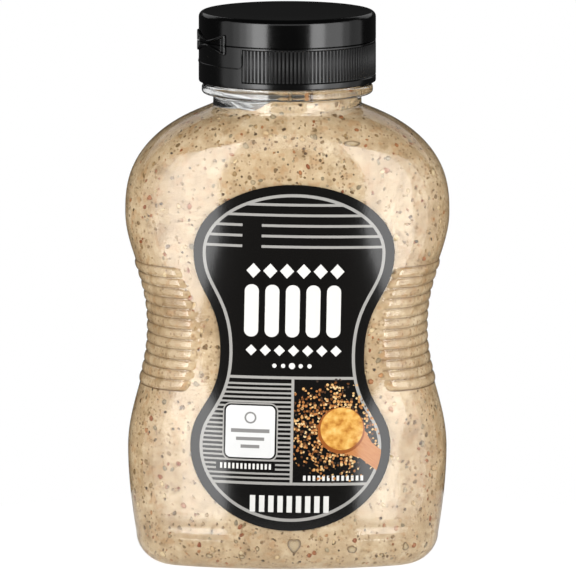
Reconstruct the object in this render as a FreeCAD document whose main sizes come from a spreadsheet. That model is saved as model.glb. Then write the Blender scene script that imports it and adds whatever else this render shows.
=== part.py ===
import FreeCAD, Part
import Sketcher

import math
import os

from FreeCAD import Placement, Rotation, Vector

# A squeeze bottle of coarse mustard. The clear bottle is an hourglass: two round lobes with a
# ribbed waist for the hand between them. It stands on its base, filled to the neck, with a
# label on each broad face and a black cap whose lid swings on a moulded hinge.
# +Z is up, the front faces -Y, and the origin is the middle of the base. Sizes are in mm.

os.makedirs("parts", exist_ok=True)
doc = FreeCAD.newDocument("mustard_jar")

# ---------------------------------------------------------------------------- driving sizes

SIZES = [
    ("lobe_half_width", 38.0, "half width of the bottle at its upper lobe"),
    ("lower_half_width", 37.4, "half width at the lower lobe"),
    ("waist_half_width", 32.5, "half width at the waist, between the ribs"),
    ("half_depth", 21.5, "half depth of the bottle at the middle of its broad faces"),
    ("lower_level", 27.0, "height of the lower lobe's widest place"),
    ("waist_rise", 28.0, "from the lower lobe up to the waist"),
    ("upper_rise", 27.5, "from the waist up to the upper lobe"),
    ("shoulder_height", 25.8, "from the upper lobe up to the foot of the neck"),
    ("heel_radius", 7.0, "round between the base and the walls"),
    ("heel_draw", 1.9, "how much narrower the heel is than the lower lobe, a side"),
    ("broad_offset", 58.5, "how far behind the middle a broad face has its centre"),
    ("side_share", 0.65, "share of width minus depth that moves a side's centre outwards"),
    ("corner_radius", 12.0, "round between a broad face and a side"),
    ("wall", 0.8, "wall of the bottle"),
    ("push_up", 1.8, "how far the middle of the base is pushed up"),
    ("panel_margin", 9.0, "from the upper lobe to the top of the broad face's upright part"),
    ("rib_count", 12, "grip ribs on each side"),
    ("rib_pitch", 2.4, "from rib to rib"),
    ("rib_width", 2.1, "foot of a rib"),
    ("rib_proud", 0.45, "how far a rib stands out"),
    ("rib_rise", 2.0, "how far the middle of the ribs is over the waist"),
    ("rib_to_label", 4.6, "from the label's edge to the front end of a rib"),
    ("neck_radius", 17.35, "outside of the neck"),
    ("neck_sink", 0.6, "how much smaller than the neck the shoulder's top is, inside it"),
    ("neck_wall", 1.2, "wall of the neck"),
    ("neck_height", 13.5, "from the foot of the neck to its rim"),
    ("bead_level", 2.4, "from the foot of the neck to the bead under the cap"),
    ("bead_height", 2.2, "height of the bead"),
    ("bead_proud", 2.7, "how far the bead stands out from the neck"),
    ("fill_level", 3.6, "how far the mustard comes up the neck"),
    ("fill_gap", 0.06, "clearance between mustard and wall"),
    ("lobe_margin", 14.5, "from the bottle's side to the label's edge at the upper lobe"),
    ("lower_margin", 14.0, "the same at the lower lobe"),
    ("waist_margin", 15.7, "the same at the waist"),
    ("label_top_gap", 0.4, "from the label's top to the top of the upright face"),
    ("label_lift", 17.2, "from the lower lobe down to the label's bottom"),
    ("label_thickness", 0.12, "thickness of a label"),
    ("label_gap", 0.05, "clearance under a label"),
    ("label_shift", 1.1, "how far the front label sits to the right"),
    ("label_tilt", 0.9, "turn of the front label, in degrees"),
    ("thread_room", 1.45, "from the neck to the inside of the cap"),
    ("cap_wall", 1.95, "wall of the cap's base"),
    ("cap_to_bead", 0.5, "from the bead up to the cap"),
    ("cap_chamfer", 0.6, "chamfer round the cap's foot"),
    ("deck_thickness", 1.4, "thickness of the deck that closes the cap's base"),
    ("seat_height", 1.0, "ring on the deck that the lid closes round"),
    ("seat_width", 0.8, "wall of that ring"),
    ("spout_height", 3.6, "height of the spout over the deck"),
    ("spout_foot", 5.2, "radius of the spout's foot"),
    ("spout_tip", 3.2, "radius of the spout's tip"),
    ("spout_bore", 1.8, "radius of the bore through the spout"),
    ("lid_height", 6.7, "from the seam to the lid's top"),
    ("lid_wall", 1.3, "wall of the lid"),
    ("lid_round", 1.2, "round over the lid's rim"),
    ("lid_gap", 0.15, "seam between lid and base"),
    ("seat_gap", 0.25, "between the lid and the ring that it closes round"),
    ("plug_gap", 0.25, "between the lid's plug and the bore"),
    ("plug_depth", 1.5, "how far the plug goes into the bore"),
    ("hinge_turn", 64.0, "how far left of the front the hinge is, in degrees"),
    ("web_length", 6.9, "from the hinge's knot to the end of a web"),
    ("web_rise", 2.3, "height of a web's outer end over the seam"),
    ("web_drop", 1.9, "the same under the seam"),
    ("web_knot", 0.35, "half height of the knot"),
    ("web_proud", 0.8, "how far the webs stand out from the cap"),
    ("thumb_depth", 1.0, "depth of the thumb recess opposite the hinge"),
    ("thumb_height", 2.4, "height of the thumb recess"),
]

sheet = doc.addObject("Spreadsheet::Sheet", "Sizes")
for row, (alias, value, meaning) in enumerate(SIZES, start=1):
    sheet.set("A%d" % row, alias)
    sheet.set("B%d" % row, str(value))
    sheet.setAlias("B%d" % row, alias)
    sheet.set("C%d" % row, meaning)
doc.recompute()


def size(alias):
    """A size from the sheet."""
    return float(sheet.get(alias))


def sizes(*aliases):
    """Several sizes from the sheet, in the order asked for."""
    return [size(alias) for alias in aliases]


WAIST = size("lower_level") + size("waist_rise")
UPPER = WAIST + size("upper_rise")
NECK_FOOT = UPPER + size("shoulder_height")
PANEL_TOP = UPPER + size("panel_margin")
RIM = NECK_FOOT + size("neck_height")
BEAD = NECK_FOOT + size("bead_level")
BEAD_TOP = BEAD + size("bead_height")
CAP_FOOT = BEAD_TOP + size("cap_to_bead")
CAP_RADIUS = size("neck_radius") + size("thread_room") + size("cap_wall")
SEAM = RIM + size("deck_thickness")
SHOULDER_TOP = size("neck_radius") - size("neck_sink")
REACH = 200.0   # long enough to pass right through the bottle


# ------------------------------------------------------------------- the bottle's own shape

SHOULDER_START = 2.6    # powers of the shoulder's curve: how late it leaves the lobe
SHOULDER_END = 0.83     # and how steeply it meets the neck
UPPER_SWELL = 1.2       # the waist stays narrow for longer above its middle than below
HEEL_POWER = 1.8
NEAR_ROUND = 0.3        # what keeps the arcs apart where the section is all but a circle
NECK_CORNER = 1.0


def swell(share):
    """A smooth rise from 0 to 1."""
    return (1 - math.cos(math.pi * share)) / 2


def shoulder(share):
    """What is left of the lobe at this share of the way up to the neck."""
    return (1 - min(share, 1.0) ** SHOULDER_START) ** SHOULDER_END


def half_width(level):
    """Half the width of the outside at a height, over the heel."""
    lower, lobe, waist = sizes("lower_half_width", "lobe_half_width", "waist_half_width")
    neck = SHOULDER_TOP
    lower_level, heel = sizes("lower_level", "heel_radius")
    if level < lower_level:
        below = (lower_level - max(level, heel)) / (lower_level - heel)
        return lower - size("heel_draw") * below ** HEEL_POWER
    if level < WAIST:
        return lower + (waist - lower) * swell((level - lower_level) / (WAIST - lower_level))
    if level < UPPER:
        share = ((level - WAIST) / (UPPER - WAIST)) ** UPPER_SWELL
        return waist + (lobe - waist) * swell(share)
    return neck + (lobe - neck) * shoulder((level - UPPER) / (NECK_FOOT - UPPER))


def panel_share(level):
    """0 on the upright part of the broad faces, rising to 1 at the neck."""
    return max(0.0, min((level - PANEL_TOP) / (NECK_FOOT - PANEL_TOP), 1.0))


def half_depth(level):
    """Half the depth of the outside at a height."""
    return SHOULDER_TOP + (size("half_depth") - SHOULDER_TOP) * shoulder(panel_share(level))


def heel_inset(level):
    """How far the heel's round draws the walls in at a height."""
    heel = size("heel_radius")
    if level >= heel:
        return 0.0
    return heel - math.sqrt(heel ** 2 - (heel - level) ** 2)


def outline(level, grow, at=None):
    """The bottle's section at a height, grown outwards, as a wire of eight tangent arcs."""
    inset = heel_inset(level) - grow
    width = half_width(level)
    depth = half_depth(level)
    roundness = panel_share(level) ** 1.5
    front = (1 - roundness) * size("broad_offset") + NEAR_ROUND
    side = size("side_share") * (width - depth) - NEAR_ROUND
    corner = size("corner_radius")
    corner += (SHOULDER_TOP - NECK_CORNER - corner) * roundness - inset
    front_centre = Vector(0, -front, 0)
    side_centre = Vector(side, 0, 0)
    # The corner's arc touches the other two from inside.
    to_front = depth + front - inset - corner
    to_side = width - side - inset - corner
    line = side_centre - front_centre
    span = line.Length
    along = (to_front ** 2 - to_side ** 2 + span ** 2) / (2 * span)
    across = math.sqrt(to_front ** 2 - along ** 2)
    line.normalize()
    corner_centre = front_centre + line * along + Vector(line.y, -line.x, 0) * across
    broad_end = corner_centre + (corner_centre - front_centre).normalize() * corner
    side_end = corner_centre + (corner_centre - side_centre).normalize() * corner
    bisector = ((broad_end + side_end) * 0.5 - corner_centre).normalize()
    corner_middle = corner_centre + bisector * corner
    height = level if at is None else at

    def place(point, across_sign, depth_sign):
        return Vector(point.x * across_sign, point.y * depth_sign, height)

    def arc(first, middle, last):
        return Part.Arc(first, middle, last).toShape()

    flank = Vector(width - inset, 0, 0)
    face = Vector(0, depth - inset, 0)
    edges = [
        arc(place(broad_end, -1, -1), place(face, 1, -1), place(broad_end, 1, -1)),
        arc(place(broad_end, 1, -1), place(corner_middle, 1, -1), place(side_end, 1, -1)),
        arc(place(side_end, 1, -1), place(flank, 1, 1), place(side_end, 1, 1)),
        arc(place(side_end, 1, 1), place(corner_middle, 1, 1), place(broad_end, 1, 1)),
        arc(place(broad_end, 1, 1), place(face, 1, 1), place(broad_end, -1, 1)),
        arc(place(broad_end, -1, 1), place(corner_middle, -1, 1), place(side_end, -1, 1)),
        arc(place(side_end, -1, 1), place(flank, -1, 1), place(side_end, -1, -1)),
        arc(place(side_end, -1, -1), place(corner_middle, -1, -1), place(broad_end, -1, -1)),
    ]
    return Part.Wire(edges)


HEEL_STEPS = 4
OVER_HEEL = (1.2, 3.2)  # sections just over the heel, which keep the walls flat there
BODY_STEPS = 12
SHOULDER_STEPS = 9


def section_levels():
    """Heights of the sections, closer together where the walls curve faster."""
    heel = size("heel_radius")
    levels = [heel * (1 - math.cos(math.radians(90.0 * step / HEEL_STEPS)))
              for step in range(HEEL_STEPS + 1)]
    levels += [heel + rise for rise in OVER_HEEL]
    levels += [heel + (UPPER - heel) * step / BODY_STEPS for step in range(1, BODY_STEPS + 1)]
    levels += [UPPER + (NECK_FOOT - UPPER) * math.sin(math.radians(90.0 * step / SHOULDER_STEPS))
               for step in range(1, SHOULDER_STEPS + 1)]
    return levels


def body_of_bottle(grow):
    """The bottle's solid body, base to neck, grown outwards or, below 0, shrunk.

    A shrunk body's floor and top move in by the same amount.
    """
    levels = section_levels()
    sections = []
    for level in levels:
        at = -grow + (level - levels[0]) * (levels[-1] + 2 * grow) / levels[-1]
        sections.append(outline(level, grow, at))
    return Part.makeLoft(sections, True, False)


def feature(name, shape):
    """A document object that holds a shape made by a formula."""
    made = doc.addObject("Part::Feature", name)
    made.Shape = shape
    return made


def cylinder(name, radius, height, level):
    """A Part cylinder on the Z axis, its sizes given as expressions of the sheet."""
    made = doc.addObject("Part::Cylinder", name)
    made.setExpression("Radius", radius)
    made.setExpression("Height", height)
    made.setExpression("Placement.Base.z", level)
    return made


def combine(kind, name, base, tool):
    """A Part boolean of two document objects."""
    made = doc.addObject("Part::" + kind, name)
    made.Base = base
    made.Tool = tool
    return made


def fuse(name, shapes):
    """A Part fusion of several document objects."""
    made = doc.addObject("Part::MultiFuse", name)
    made.Shapes = shapes
    return made


# Expressions of the sheet for the levels that several pieces share.
NECK_FOOT_X = "(Sizes.lower_level + Sizes.waist_rise + Sizes.upper_rise + Sizes.shoulder_height)"
RIM_X = "(%s + Sizes.neck_height)" % NECK_FOOT_X
SEAM_X = "(%s + Sizes.deck_thickness)" % RIM_X
BEAD_X = "(%s + Sizes.bead_level)" % NECK_FOOT_X
CAP_FOOT_X = "(%s + Sizes.bead_height + Sizes.cap_to_bead)" % BEAD_X
CAP_INSIDE_X = "(Sizes.neck_radius + Sizes.thread_room)"
CAP_RADIUS_X = "(%s + Sizes.cap_wall)" % CAP_INSIDE_X


# -------------------------------------------------------------------------------- the ribs

def label_half_width(level):
    """Half the width of the label at a height: two lobes drawn in at the waist."""
    lobe, lower, waist = sizes("lobe_half_width", "lower_half_width", "waist_half_width")
    upper_label = lobe - size("lobe_margin")
    lower_label = lower - size("lower_margin")
    waist_label = waist - size("waist_margin")
    if level > WAIST:
        share = min((level - WAIST) / (UPPER - WAIST), 1.0)
        return waist_label + (upper_label - waist_label) * swell(share)
    share = min((WAIST - level) / (WAIST - size("lower_level")), 1.0)
    return waist_label + (lower_label - waist_label) * swell(share)


def grip_rib(level):
    """The left and right rib at a height: a low bead round each side of the bottle."""
    width, proud = sizes("rib_width", "rib_proud")
    stops = [(-0.5, -0.2), (-0.25, proud), (0.25, proud), (0.5, -0.2)]
    sections = [outline(level + width * along, grow) for along, grow in stops]
    ring = Part.makeLoft(sections, True, True)
    clear = label_half_width(level) + size("rib_to_label")
    middle = Part.makeBox(2 * clear, REACH, 2 * width, Vector(-clear, -REACH / 2, level - width))
    return ring.cut(middle)


def grip_ribs():
    """Every rib, spread evenly about the waist."""
    count = int(size("rib_count"))
    pitch = size("rib_pitch")
    lowest = WAIST + size("rib_rise") - pitch * (count - 1) / 2
    ribs = [grip_rib(lowest + pitch * number) for number in range(count)]
    return Part.makeCompound(ribs)


# ------------------------------------------------------------------------------ the bottle

def make_bottle():
    """The clear bottle: walls, ribs, neck and bead, hollow, with its base pushed up."""
    outside = feature("bottle_outside", body_of_bottle(0.0))
    ribs = feature("grip_ribs", grip_ribs())
    neck = cylinder("neck", "Sizes.neck_radius", "Sizes.neck_height + 3", NECK_FOOT_X + " - 3")
    bead = cylinder("bead", "Sizes.neck_radius + Sizes.bead_proud", "Sizes.bead_height", BEAD_X)
    doc.recompute()
    rounded = doc.addObject("Part::Fillet", "bead_rounded")
    rounded.Base = bead
    soft = size("bead_height") * 0.3
    rounded.Edges = [(number, soft, soft) for number, edge in enumerate(bead.Shape.Edges, 1)
                     if edge.Closed and isinstance(edge.Curve, Part.Circle)]
    solid = fuse("bottle_solid", [outside, neck, rounded, ribs])
    inside = feature("bottle_inside", body_of_bottle(-size("wall")))
    bore = cylinder("neck_bore", "Sizes.neck_radius - Sizes.neck_wall",
                    "Sizes.neck_height + 10", NECK_FOOT_X + " - 4")
    hollow = fuse("bottle_hollow", [inside, bore])
    floor = dome("floor_dome", "Sizes.push_up + Sizes.wall", "Sizes.wall")
    cavity = combine("Cut", "bottle_cavity", hollow, floor)
    shell = combine("Cut", "bottle_shell", solid, cavity)
    bottle = combine("Cut", "bottle", shell, dome("base_dome", "Sizes.push_up", "0"))
    bottle.Label = "bottle"
    bottle.Placement = Placement(Vector(0, 0, 0), Rotation())
    return bottle


def dome(name, rise, spread):
    """The low round dome that pushes the base up."""
    made = doc.addObject("Part::Ellipsoid", name)
    made.setExpression("Radius1", rise)
    made.setExpression("Radius2", "Sizes.lower_half_width - Sizes.heel_radius - 5 + " + spread)
    made.setExpression("Radius3", "Sizes.half_depth - Sizes.heel_radius - 2 + " + spread)
    made.Angle1 = -90
    made.Angle2 = 90
    return made


def make_mustard():
    """What fills the bottle, up into its neck."""
    inside = feature("mustard_body", body_of_bottle(-size("wall") - size("fill_gap")))
    column = cylinder("mustard_column", "Sizes.neck_radius - Sizes.neck_wall - Sizes.fill_gap",
                      "Sizes.fill_level + 4", NECK_FOOT_X + " - 4")
    whole = fuse("mustard_whole", [inside, column])
    floor = dome("mustard_floor", "Sizes.push_up + Sizes.wall + Sizes.fill_gap",
                 "Sizes.wall + Sizes.fill_gap")
    mustard = combine("Cut", "mustard", whole, floor)
    mustard.Label = "mustard"
    mustard.Placement = Placement(Vector(0, 0, 0), Rotation())
    return mustard


# ------------------------------------------------------------------------------ the labels

LOBE_PULL = 0.42      # how long each curve runs nearly upright at a lobe
WAIST_PULL = 0.55     # and at the waist
WAIST_DROP = 3.5      # the label is narrowest a little under the bottle's waist
LOWER_RISE = 2.5      # and widest a little over the bottle's lower lobe
TOP_SHARE = 0.4       # how much of the height over the waist is the round top
ELLIPSE_PULL = 0.5523   # handle that bends a Bezier curve to a quarter of an ellipse


def label_outline():
    """The label's edge in the XZ plane: a round top, a drawn-in waist and a round bottom."""
    lower_level = size("lower_level")
    top = PANEL_TOP - size("label_top_gap")
    bottom = lower_level - size("label_lift")
    upper = label_half_width(UPPER)
    waist = label_half_width(WAIST)
    lower = label_half_width(lower_level)
    upper_level = top - (top - WAIST) * TOP_SHARE
    waist_level = WAIST - WAIST_DROP
    widest = lower_level + LOWER_RISE

    def bezier(poles):
        curve = Part.BezierCurve()
        curve.setPoles(poles)
        return curve.toShape()

    def round_end(sign, half, level, end):
        """A quarter of an ellipse, from a lobe's widest place to the tip of the label."""
        start = Vector(half * sign, 0, level)
        tip = Vector(0, 0, end)
        return bezier([start, start + Vector(0, 0, (end - level) * ELLIPSE_PULL),
                       tip + Vector(half * sign * ELLIPSE_PULL, 0, 0), tip])

    def side(sign, half, level):
        """From a lobe's widest place to the waist."""
        start = Vector(half * sign, 0, level)
        end = Vector(waist * sign, 0, waist_level)
        run = waist_level - level
        return bezier([start, start + Vector(0, 0, run * LOBE_PULL),
                       end - Vector(0, 0, run * WAIST_PULL), end])

    edges = []
    for sign in (1, -1):
        edges.append(round_end(sign, upper, upper_level, top))
        edges.append(side(sign, upper, upper_level))
        edges.append(side(sign, lower, widest))
        edges.append(round_end(sign, lower, widest, bottom))
    return Part.Wire(Part.__sortEdges__(edges))


def make_label(label, facing, shift, tilt):
    """A label bent to the round of one broad face: facing is -1 at the front, 1 at the back."""
    edge = feature(label + "_outline", label_outline())
    turn = Rotation(Vector(0, 1, 0), tilt)
    pivot = Vector(0, 0, WAIST)
    start = Vector(shift, facing * size("half_depth") * 0.6, 0)
    edge.Placement = Placement(start, turn, pivot)
    prism = doc.addObject("Part::Extrusion", label + "_prism")
    prism.Base = edge
    prism.DirMode = "Custom"
    prism.Dir = Vector(0, facing, 0)
    prism.LengthFwd = size("half_depth")
    prism.Solid = True
    inner = cylinder(label + "_under", "Sizes.half_depth + Sizes.broad_offset + %g + Sizes.label_gap"
                     % NEAR_ROUND, SEAM_X, "0")
    outer = cylinder(label + "_over", "Sizes.half_depth + Sizes.broad_offset + %g + "
                     "Sizes.label_gap + Sizes.label_thickness" % NEAR_ROUND, SEAM_X, "0")
    for face in (inner, outer):
        face.setExpression("Placement.Base.y", "%d * (Sizes.broad_offset + %g)"
                           % (-facing, NEAR_ROUND))
    skin = combine("Cut", label + "_skin", outer, inner)
    made = combine("Common", label, skin, prism)
    made.Label = label
    made.Placement = Placement(Vector(0, 0, 0), Rotation())
    return made


# --------------------------------------------------------------------------------- the cap
# Both pieces of the cap are modelled with the hinge on +X and turned to their place.

def origin_plane(body, role):
    """One of the body's own origin planes."""
    for plane in body.Origin.OriginFeatures:
        if plane.Role == role:
            return plane
    raise ValueError(role)


def cap_body(label):
    """An empty PartDesign body, turned so that its +X points to the hinge."""
    body = doc.addObject("PartDesign::Body", label)
    body.Label = label
    return body


def polygon_sketch(body, name, role, points):
    """A closed sketch whose corners are pairs of expressions of the sheet."""
    sketch = body.newObject("Sketcher::SketchObject", name)
    sketch.AttachmentSupport = [(origin_plane(body, role), "")]
    sketch.MapMode = "FlatFace"
    count = len(points)
    corners = [(evaluate(sketch, across), evaluate(sketch, up)) for across, up in points]
    for number in range(count):
        first = corners[number]
        last = corners[(number + 1) % count]
        sketch.addGeometry(Part.LineSegment(Vector(*first, 0), Vector(*last, 0)), False)
    for number in range(count):
        sketch.addConstraint(Sketcher.Constraint("Coincident", number, 2, (number + 1) % count, 1))
    for number, (across, up) in enumerate(points):
        for kind, expression, value in (("DistanceX", across, corners[number][0]),
                                        ("DistanceY", up, corners[number][1])):
            index = sketch.addConstraint(Sketcher.Constraint(kind, -1, 1, number, 1, value))
            sketch.setExpression("Constraints[%d]" % index, expression)
    return sketch


def evaluate(owner, expression):
    """The value that an expression of the sheet has now."""
    return float(owner.evalExpression(expression))


def revolve(body, sketch, name):
    """The sketch turned all the way round the body's Z axis."""
    made = body.newObject("PartDesign::Revolution", name)
    made.Profile = sketch
    made.ReferenceAxis = (sketch, ["V_Axis"])
    made.Angle = 360
    return made


def add_webs(body, end_level, knot_level, seam_level):
    """The half of the hinge's two webs that belongs to this piece of the cap.

    Each starts at the cap's axis, and what lies in the cap's hollow is cut away later.
    """
    for name, sign in (("left_web", "-1"), ("right_web", "1")):
        points = [("%s * 0.2" % sign, seam_level), ("%s * Sizes.web_length" % sign, seam_level),
                  ("%s * Sizes.web_length" % sign, end_level), ("%s * 0.2" % sign, knot_level)]
        sketch = polygon_sketch(body, name + "_sketch", "YZ_Plane", points)
        web = body.newObject("PartDesign::Pad", name)
        web.Profile = sketch
        web.Type = "Length"
        web.setExpression("Length", CAP_RADIUS_X + " + 2 * Sizes.web_proud")
    trim_outside(body)


def trim_outside(body):
    """Cuts the webs back to a round that stands proud of the cap."""
    outer = CAP_RADIUS_X + " + Sizes.web_proud"
    points = [(outer, CAP_FOOT_X), (outer + " + 6", CAP_FOOT_X),
              (outer + " + 6", SEAM_X + " + Sizes.lid_height"),
              (outer, SEAM_X + " + Sizes.lid_height")]
    sketch = polygon_sketch(body, "trim_sketch", "XZ_Plane", points)
    cut = body.newObject("PartDesign::Groove", "trim")
    cut.Profile = sketch
    cut.ReferenceAxis = (sketch, ["V_Axis"])
    cut.Angle = 360


def hollow_out(body, name, points):
    """Cuts a turned hollow out of a piece of the cap."""
    sketch = polygon_sketch(body, name + "_sketch", "XZ_Plane", points)
    cut = body.newObject("PartDesign::Groove", name)
    cut.Profile = sketch
    cut.ReferenceAxis = (sketch, ["V_Axis"])
    cut.Angle = 360
    return cut


def make_cap_base():
    """The cap's base: skirt, deck, the ring for the lid, and the spout with its bore."""
    body = cap_body("cap_base")
    deck = SEAM_X
    ring_out = CAP_RADIUS_X + " - Sizes.lid_wall - Sizes.seat_gap"
    ring_in = ring_out + " - Sizes.seat_width"
    block = [("0", CAP_FOOT_X), (CAP_RADIUS_X + " - Sizes.cap_chamfer", CAP_FOOT_X),
             (CAP_RADIUS_X, CAP_FOOT_X + " + Sizes.cap_chamfer"), (CAP_RADIUS_X, deck),
             (ring_out, deck), (ring_out, deck + " + Sizes.seat_height"),
             (ring_in, deck + " + Sizes.seat_height"), (ring_in, deck),
             ("Sizes.spout_foot", deck), ("Sizes.spout_tip", deck + " + Sizes.spout_height"),
             ("0", deck + " + Sizes.spout_height")]
    revolve(body, polygon_sketch(body, "block_sketch", "XZ_Plane", block), "block")
    add_webs(body, deck + " - Sizes.web_drop", deck + " - Sizes.web_knot", deck)
    under = deck + " - Sizes.deck_thickness"
    hollow_out(body, "hollow", [("0", CAP_FOOT_X + " - 1"), (CAP_INSIDE_X, CAP_FOOT_X + " - 1"),
                                (CAP_INSIDE_X, under), ("Sizes.spout_bore", under),
                                ("Sizes.spout_bore", deck + " + Sizes.spout_height + 1"),
                                ("0", deck + " + Sizes.spout_height + 1")])
    thumb = body.newObject("PartDesign::SubtractiveBox", "thumb_recess")
    thumb.setExpression("Length", "10")
    thumb.setExpression("Width", "2 * " + CAP_RADIUS_X)
    thumb.setExpression("Height", "Sizes.thumb_height + 1")
    thumb.setExpression("Placement.Base.x", "Sizes.thumb_depth - 10 - " + CAP_RADIUS_X)
    thumb.setExpression("Placement.Base.y", "-" + CAP_RADIUS_X)
    thumb.setExpression("Placement.Base.z", deck + " - Sizes.thumb_height")
    return body


def make_cap_lid():
    """The lid: a shallow cup, closed, with the plug that stops the spout."""
    body = cap_body("cap_lid")
    foot = SEAM_X + " + Sizes.lid_gap"
    top = SEAM_X + " + Sizes.lid_height"
    block = [("0", foot), (CAP_RADIUS_X, foot), (CAP_RADIUS_X, top), ("0", top)]
    turned = revolve(body, polygon_sketch(body, "block_sketch", "XZ_Plane", block), "block")
    doc.recompute()
    rim = body.newObject("PartDesign::Fillet", "rim_round")
    highest = turned.Shape.BoundBox.ZMax
    edges = ["Edge%d" % number for number, edge in enumerate(turned.Shape.Edges, 1)
             if edge.BoundBox.ZMin > highest - 0.01 and edge.Length > CAP_RADIUS]
    rim.Base = (turned, edges)
    rim.setExpression("Radius", "Sizes.lid_round")
    add_webs(body, SEAM_X + " + Sizes.web_rise", foot + " + Sizes.web_knot", foot)
    inside = CAP_RADIUS_X + " - Sizes.lid_wall"
    under = top + " - Sizes.lid_wall"
    plug = "Sizes.spout_bore - Sizes.plug_gap"
    plug_end = SEAM_X + " + Sizes.spout_height - Sizes.plug_depth"
    hollow_out(body, "hollow", [("0", foot + " - 1"), (inside, foot + " - 1"), (inside, under),
                                (plug, under), (plug, plug_end), ("0", plug_end)])
    return body


# ----------------------------------------------------------------------------- the pieces

bottle = make_bottle()
mustard = make_mustard()
front_label = make_label("front_label", -1, size("label_shift"), size("label_tilt"))
back_label = make_label("back_label", 1, 0.0, 0.0)
cap_base = make_cap_base()
cap_lid = make_cap_lid()
doc.recompute()
for piece in (cap_base, cap_lid):
    piece.Placement = Placement(Vector(0, 0, 0), Rotation(Vector(0, 0, 1), -90 - size("hinge_turn")))
doc.recompute()

for item in doc.Objects:
    if "Invalid" in item.State or "Error" in item.State:
        raise RuntimeError("%s failed: %s" % (item.Name, item.State))

for piece in (bottle, mustard, front_label, back_label, cap_base, cap_lid):
    shape = piece.Shape
    if shape.isNull() or not shape.isValid():
        raise RuntimeError("%s has no valid shape" % piece.Label)
    shape.exportStep("parts/%s.step" % piece.Label)
    print("%-12s %d solid, %9.1f mm3, z %.1f to %.1f" % (
        piece.Label, len(shape.Solids), shape.Volume, shape.BoundBox.ZMin, shape.BoundBox.ZMax))
print("seam at %.2f, cap radius %.2f" % (SEAM, CAP_RADIUS))
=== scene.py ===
# %% [markdown]
# # A squeeze bottle of coarse mustard
#
# The object is a clear hourglass bottle, full to the neck with whole-grain mustard, with a black
# film label on each broad face and a black cap whose lid swings on a moulded hinge. The lesson
# builds it in the order in which light meets it: the studio, the bottle, what fills it, the
# labels, and the cap.
#
# The construction is fixed already. We load it, keep its box, and read places from it.

# %% Load the frame
import math

import bpy
import numpy as np
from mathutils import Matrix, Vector


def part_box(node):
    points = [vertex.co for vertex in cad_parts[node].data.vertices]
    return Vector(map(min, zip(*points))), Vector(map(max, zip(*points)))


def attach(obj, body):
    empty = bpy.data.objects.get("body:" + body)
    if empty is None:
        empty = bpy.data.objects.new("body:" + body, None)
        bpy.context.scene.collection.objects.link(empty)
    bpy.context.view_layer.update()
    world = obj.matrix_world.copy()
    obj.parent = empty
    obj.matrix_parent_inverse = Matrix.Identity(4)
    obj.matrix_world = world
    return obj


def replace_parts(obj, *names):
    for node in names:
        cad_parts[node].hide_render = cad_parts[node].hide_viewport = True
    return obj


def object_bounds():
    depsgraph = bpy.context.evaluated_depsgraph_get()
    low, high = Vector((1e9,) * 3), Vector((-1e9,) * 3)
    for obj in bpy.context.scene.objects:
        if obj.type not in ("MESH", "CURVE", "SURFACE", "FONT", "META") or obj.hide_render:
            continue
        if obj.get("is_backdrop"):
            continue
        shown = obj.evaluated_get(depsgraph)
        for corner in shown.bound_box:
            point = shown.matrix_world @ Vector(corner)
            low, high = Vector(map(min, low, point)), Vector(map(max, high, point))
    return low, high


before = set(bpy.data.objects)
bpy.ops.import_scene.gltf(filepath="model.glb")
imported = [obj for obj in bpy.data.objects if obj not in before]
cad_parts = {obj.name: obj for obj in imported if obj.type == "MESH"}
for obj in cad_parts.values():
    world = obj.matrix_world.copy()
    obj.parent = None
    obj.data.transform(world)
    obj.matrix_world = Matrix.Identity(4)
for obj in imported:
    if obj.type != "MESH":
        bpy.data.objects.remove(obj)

MM = 0.001
cad_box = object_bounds()


def low(node):
    """The lowest corner of a node's box, in millimetres."""
    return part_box(node)[0] / MM


def high(node):
    """The highest corner of a node's box, in millimetres."""
    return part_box(node)[1] / MM


RIM = high("bottle").z
FILL = high("mustard").z
CAP_FOOT = low("cap_base").z
SEAM = low("cap_lid").z
LID_TOP = high("cap_lid").z
print("rim %.1f, fill %.1f, cap from %.1f to %.1f mm" % (RIM, FILL, CAP_FOOT, LID_TOP))

# %% [markdown]
# ## Writing nodes as sums
#
# Shader and geometry trees share the same maths nodes. A small class wraps a socket and overloads
# the operators, so that `1 - mask` adds a Math node and a formula reads like one. Everything else
# comes from one method, `node`, which sets a node's settings first and then its sockets.


# %% A socket that does sums
class Socket:
    """A node's output that can be used in Python sums."""

    def __init__(self, graph, socket):
        self.graph = graph
        self.socket = socket

    def out(self, name):
        """Another output of the same node."""
        return Socket(self.graph, self.socket.node.outputs[name])

    def math(self, operation, *others):
        inputs = {0: self}
        for number, other in enumerate(others, start=1):
            inputs[number] = other
        return self.graph.node("ShaderNodeMath", {"operation": operation}, inputs)

    def __add__(self, other):
        return self.math("ADD", other)

    __radd__ = __add__

    def __sub__(self, other):
        return self.math("SUBTRACT", other)

    def __rsub__(self, other):
        return self.graph.node("ShaderNodeMath", {"operation": "SUBTRACT"}, {0: other, 1: self})

    def __mul__(self, other):
        return self.math("MULTIPLY", other)

    __rmul__ = __mul__

    def __truediv__(self, other):
        return self.math("DIVIDE", other)

    def __pow__(self, other):
        return self.math("POWER", other)

    def __lt__(self, other):
        return self.math("LESS_THAN", other)

    def __gt__(self, other):
        return self.math("GREATER_THAN", other)

    def __abs__(self):
        return self.math("ABSOLUTE")

    def least(self, other):
        return self.math("MINIMUM", other)

    def most(self, other):
        return self.math("MAXIMUM", other)

    def clamped(self):
        """Kept between 0 and 1."""
        return self.graph.node("ShaderNodeMath", {"operation": "ADD", "use_clamp": True},
                               {0: self, 1: 0.0})


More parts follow.
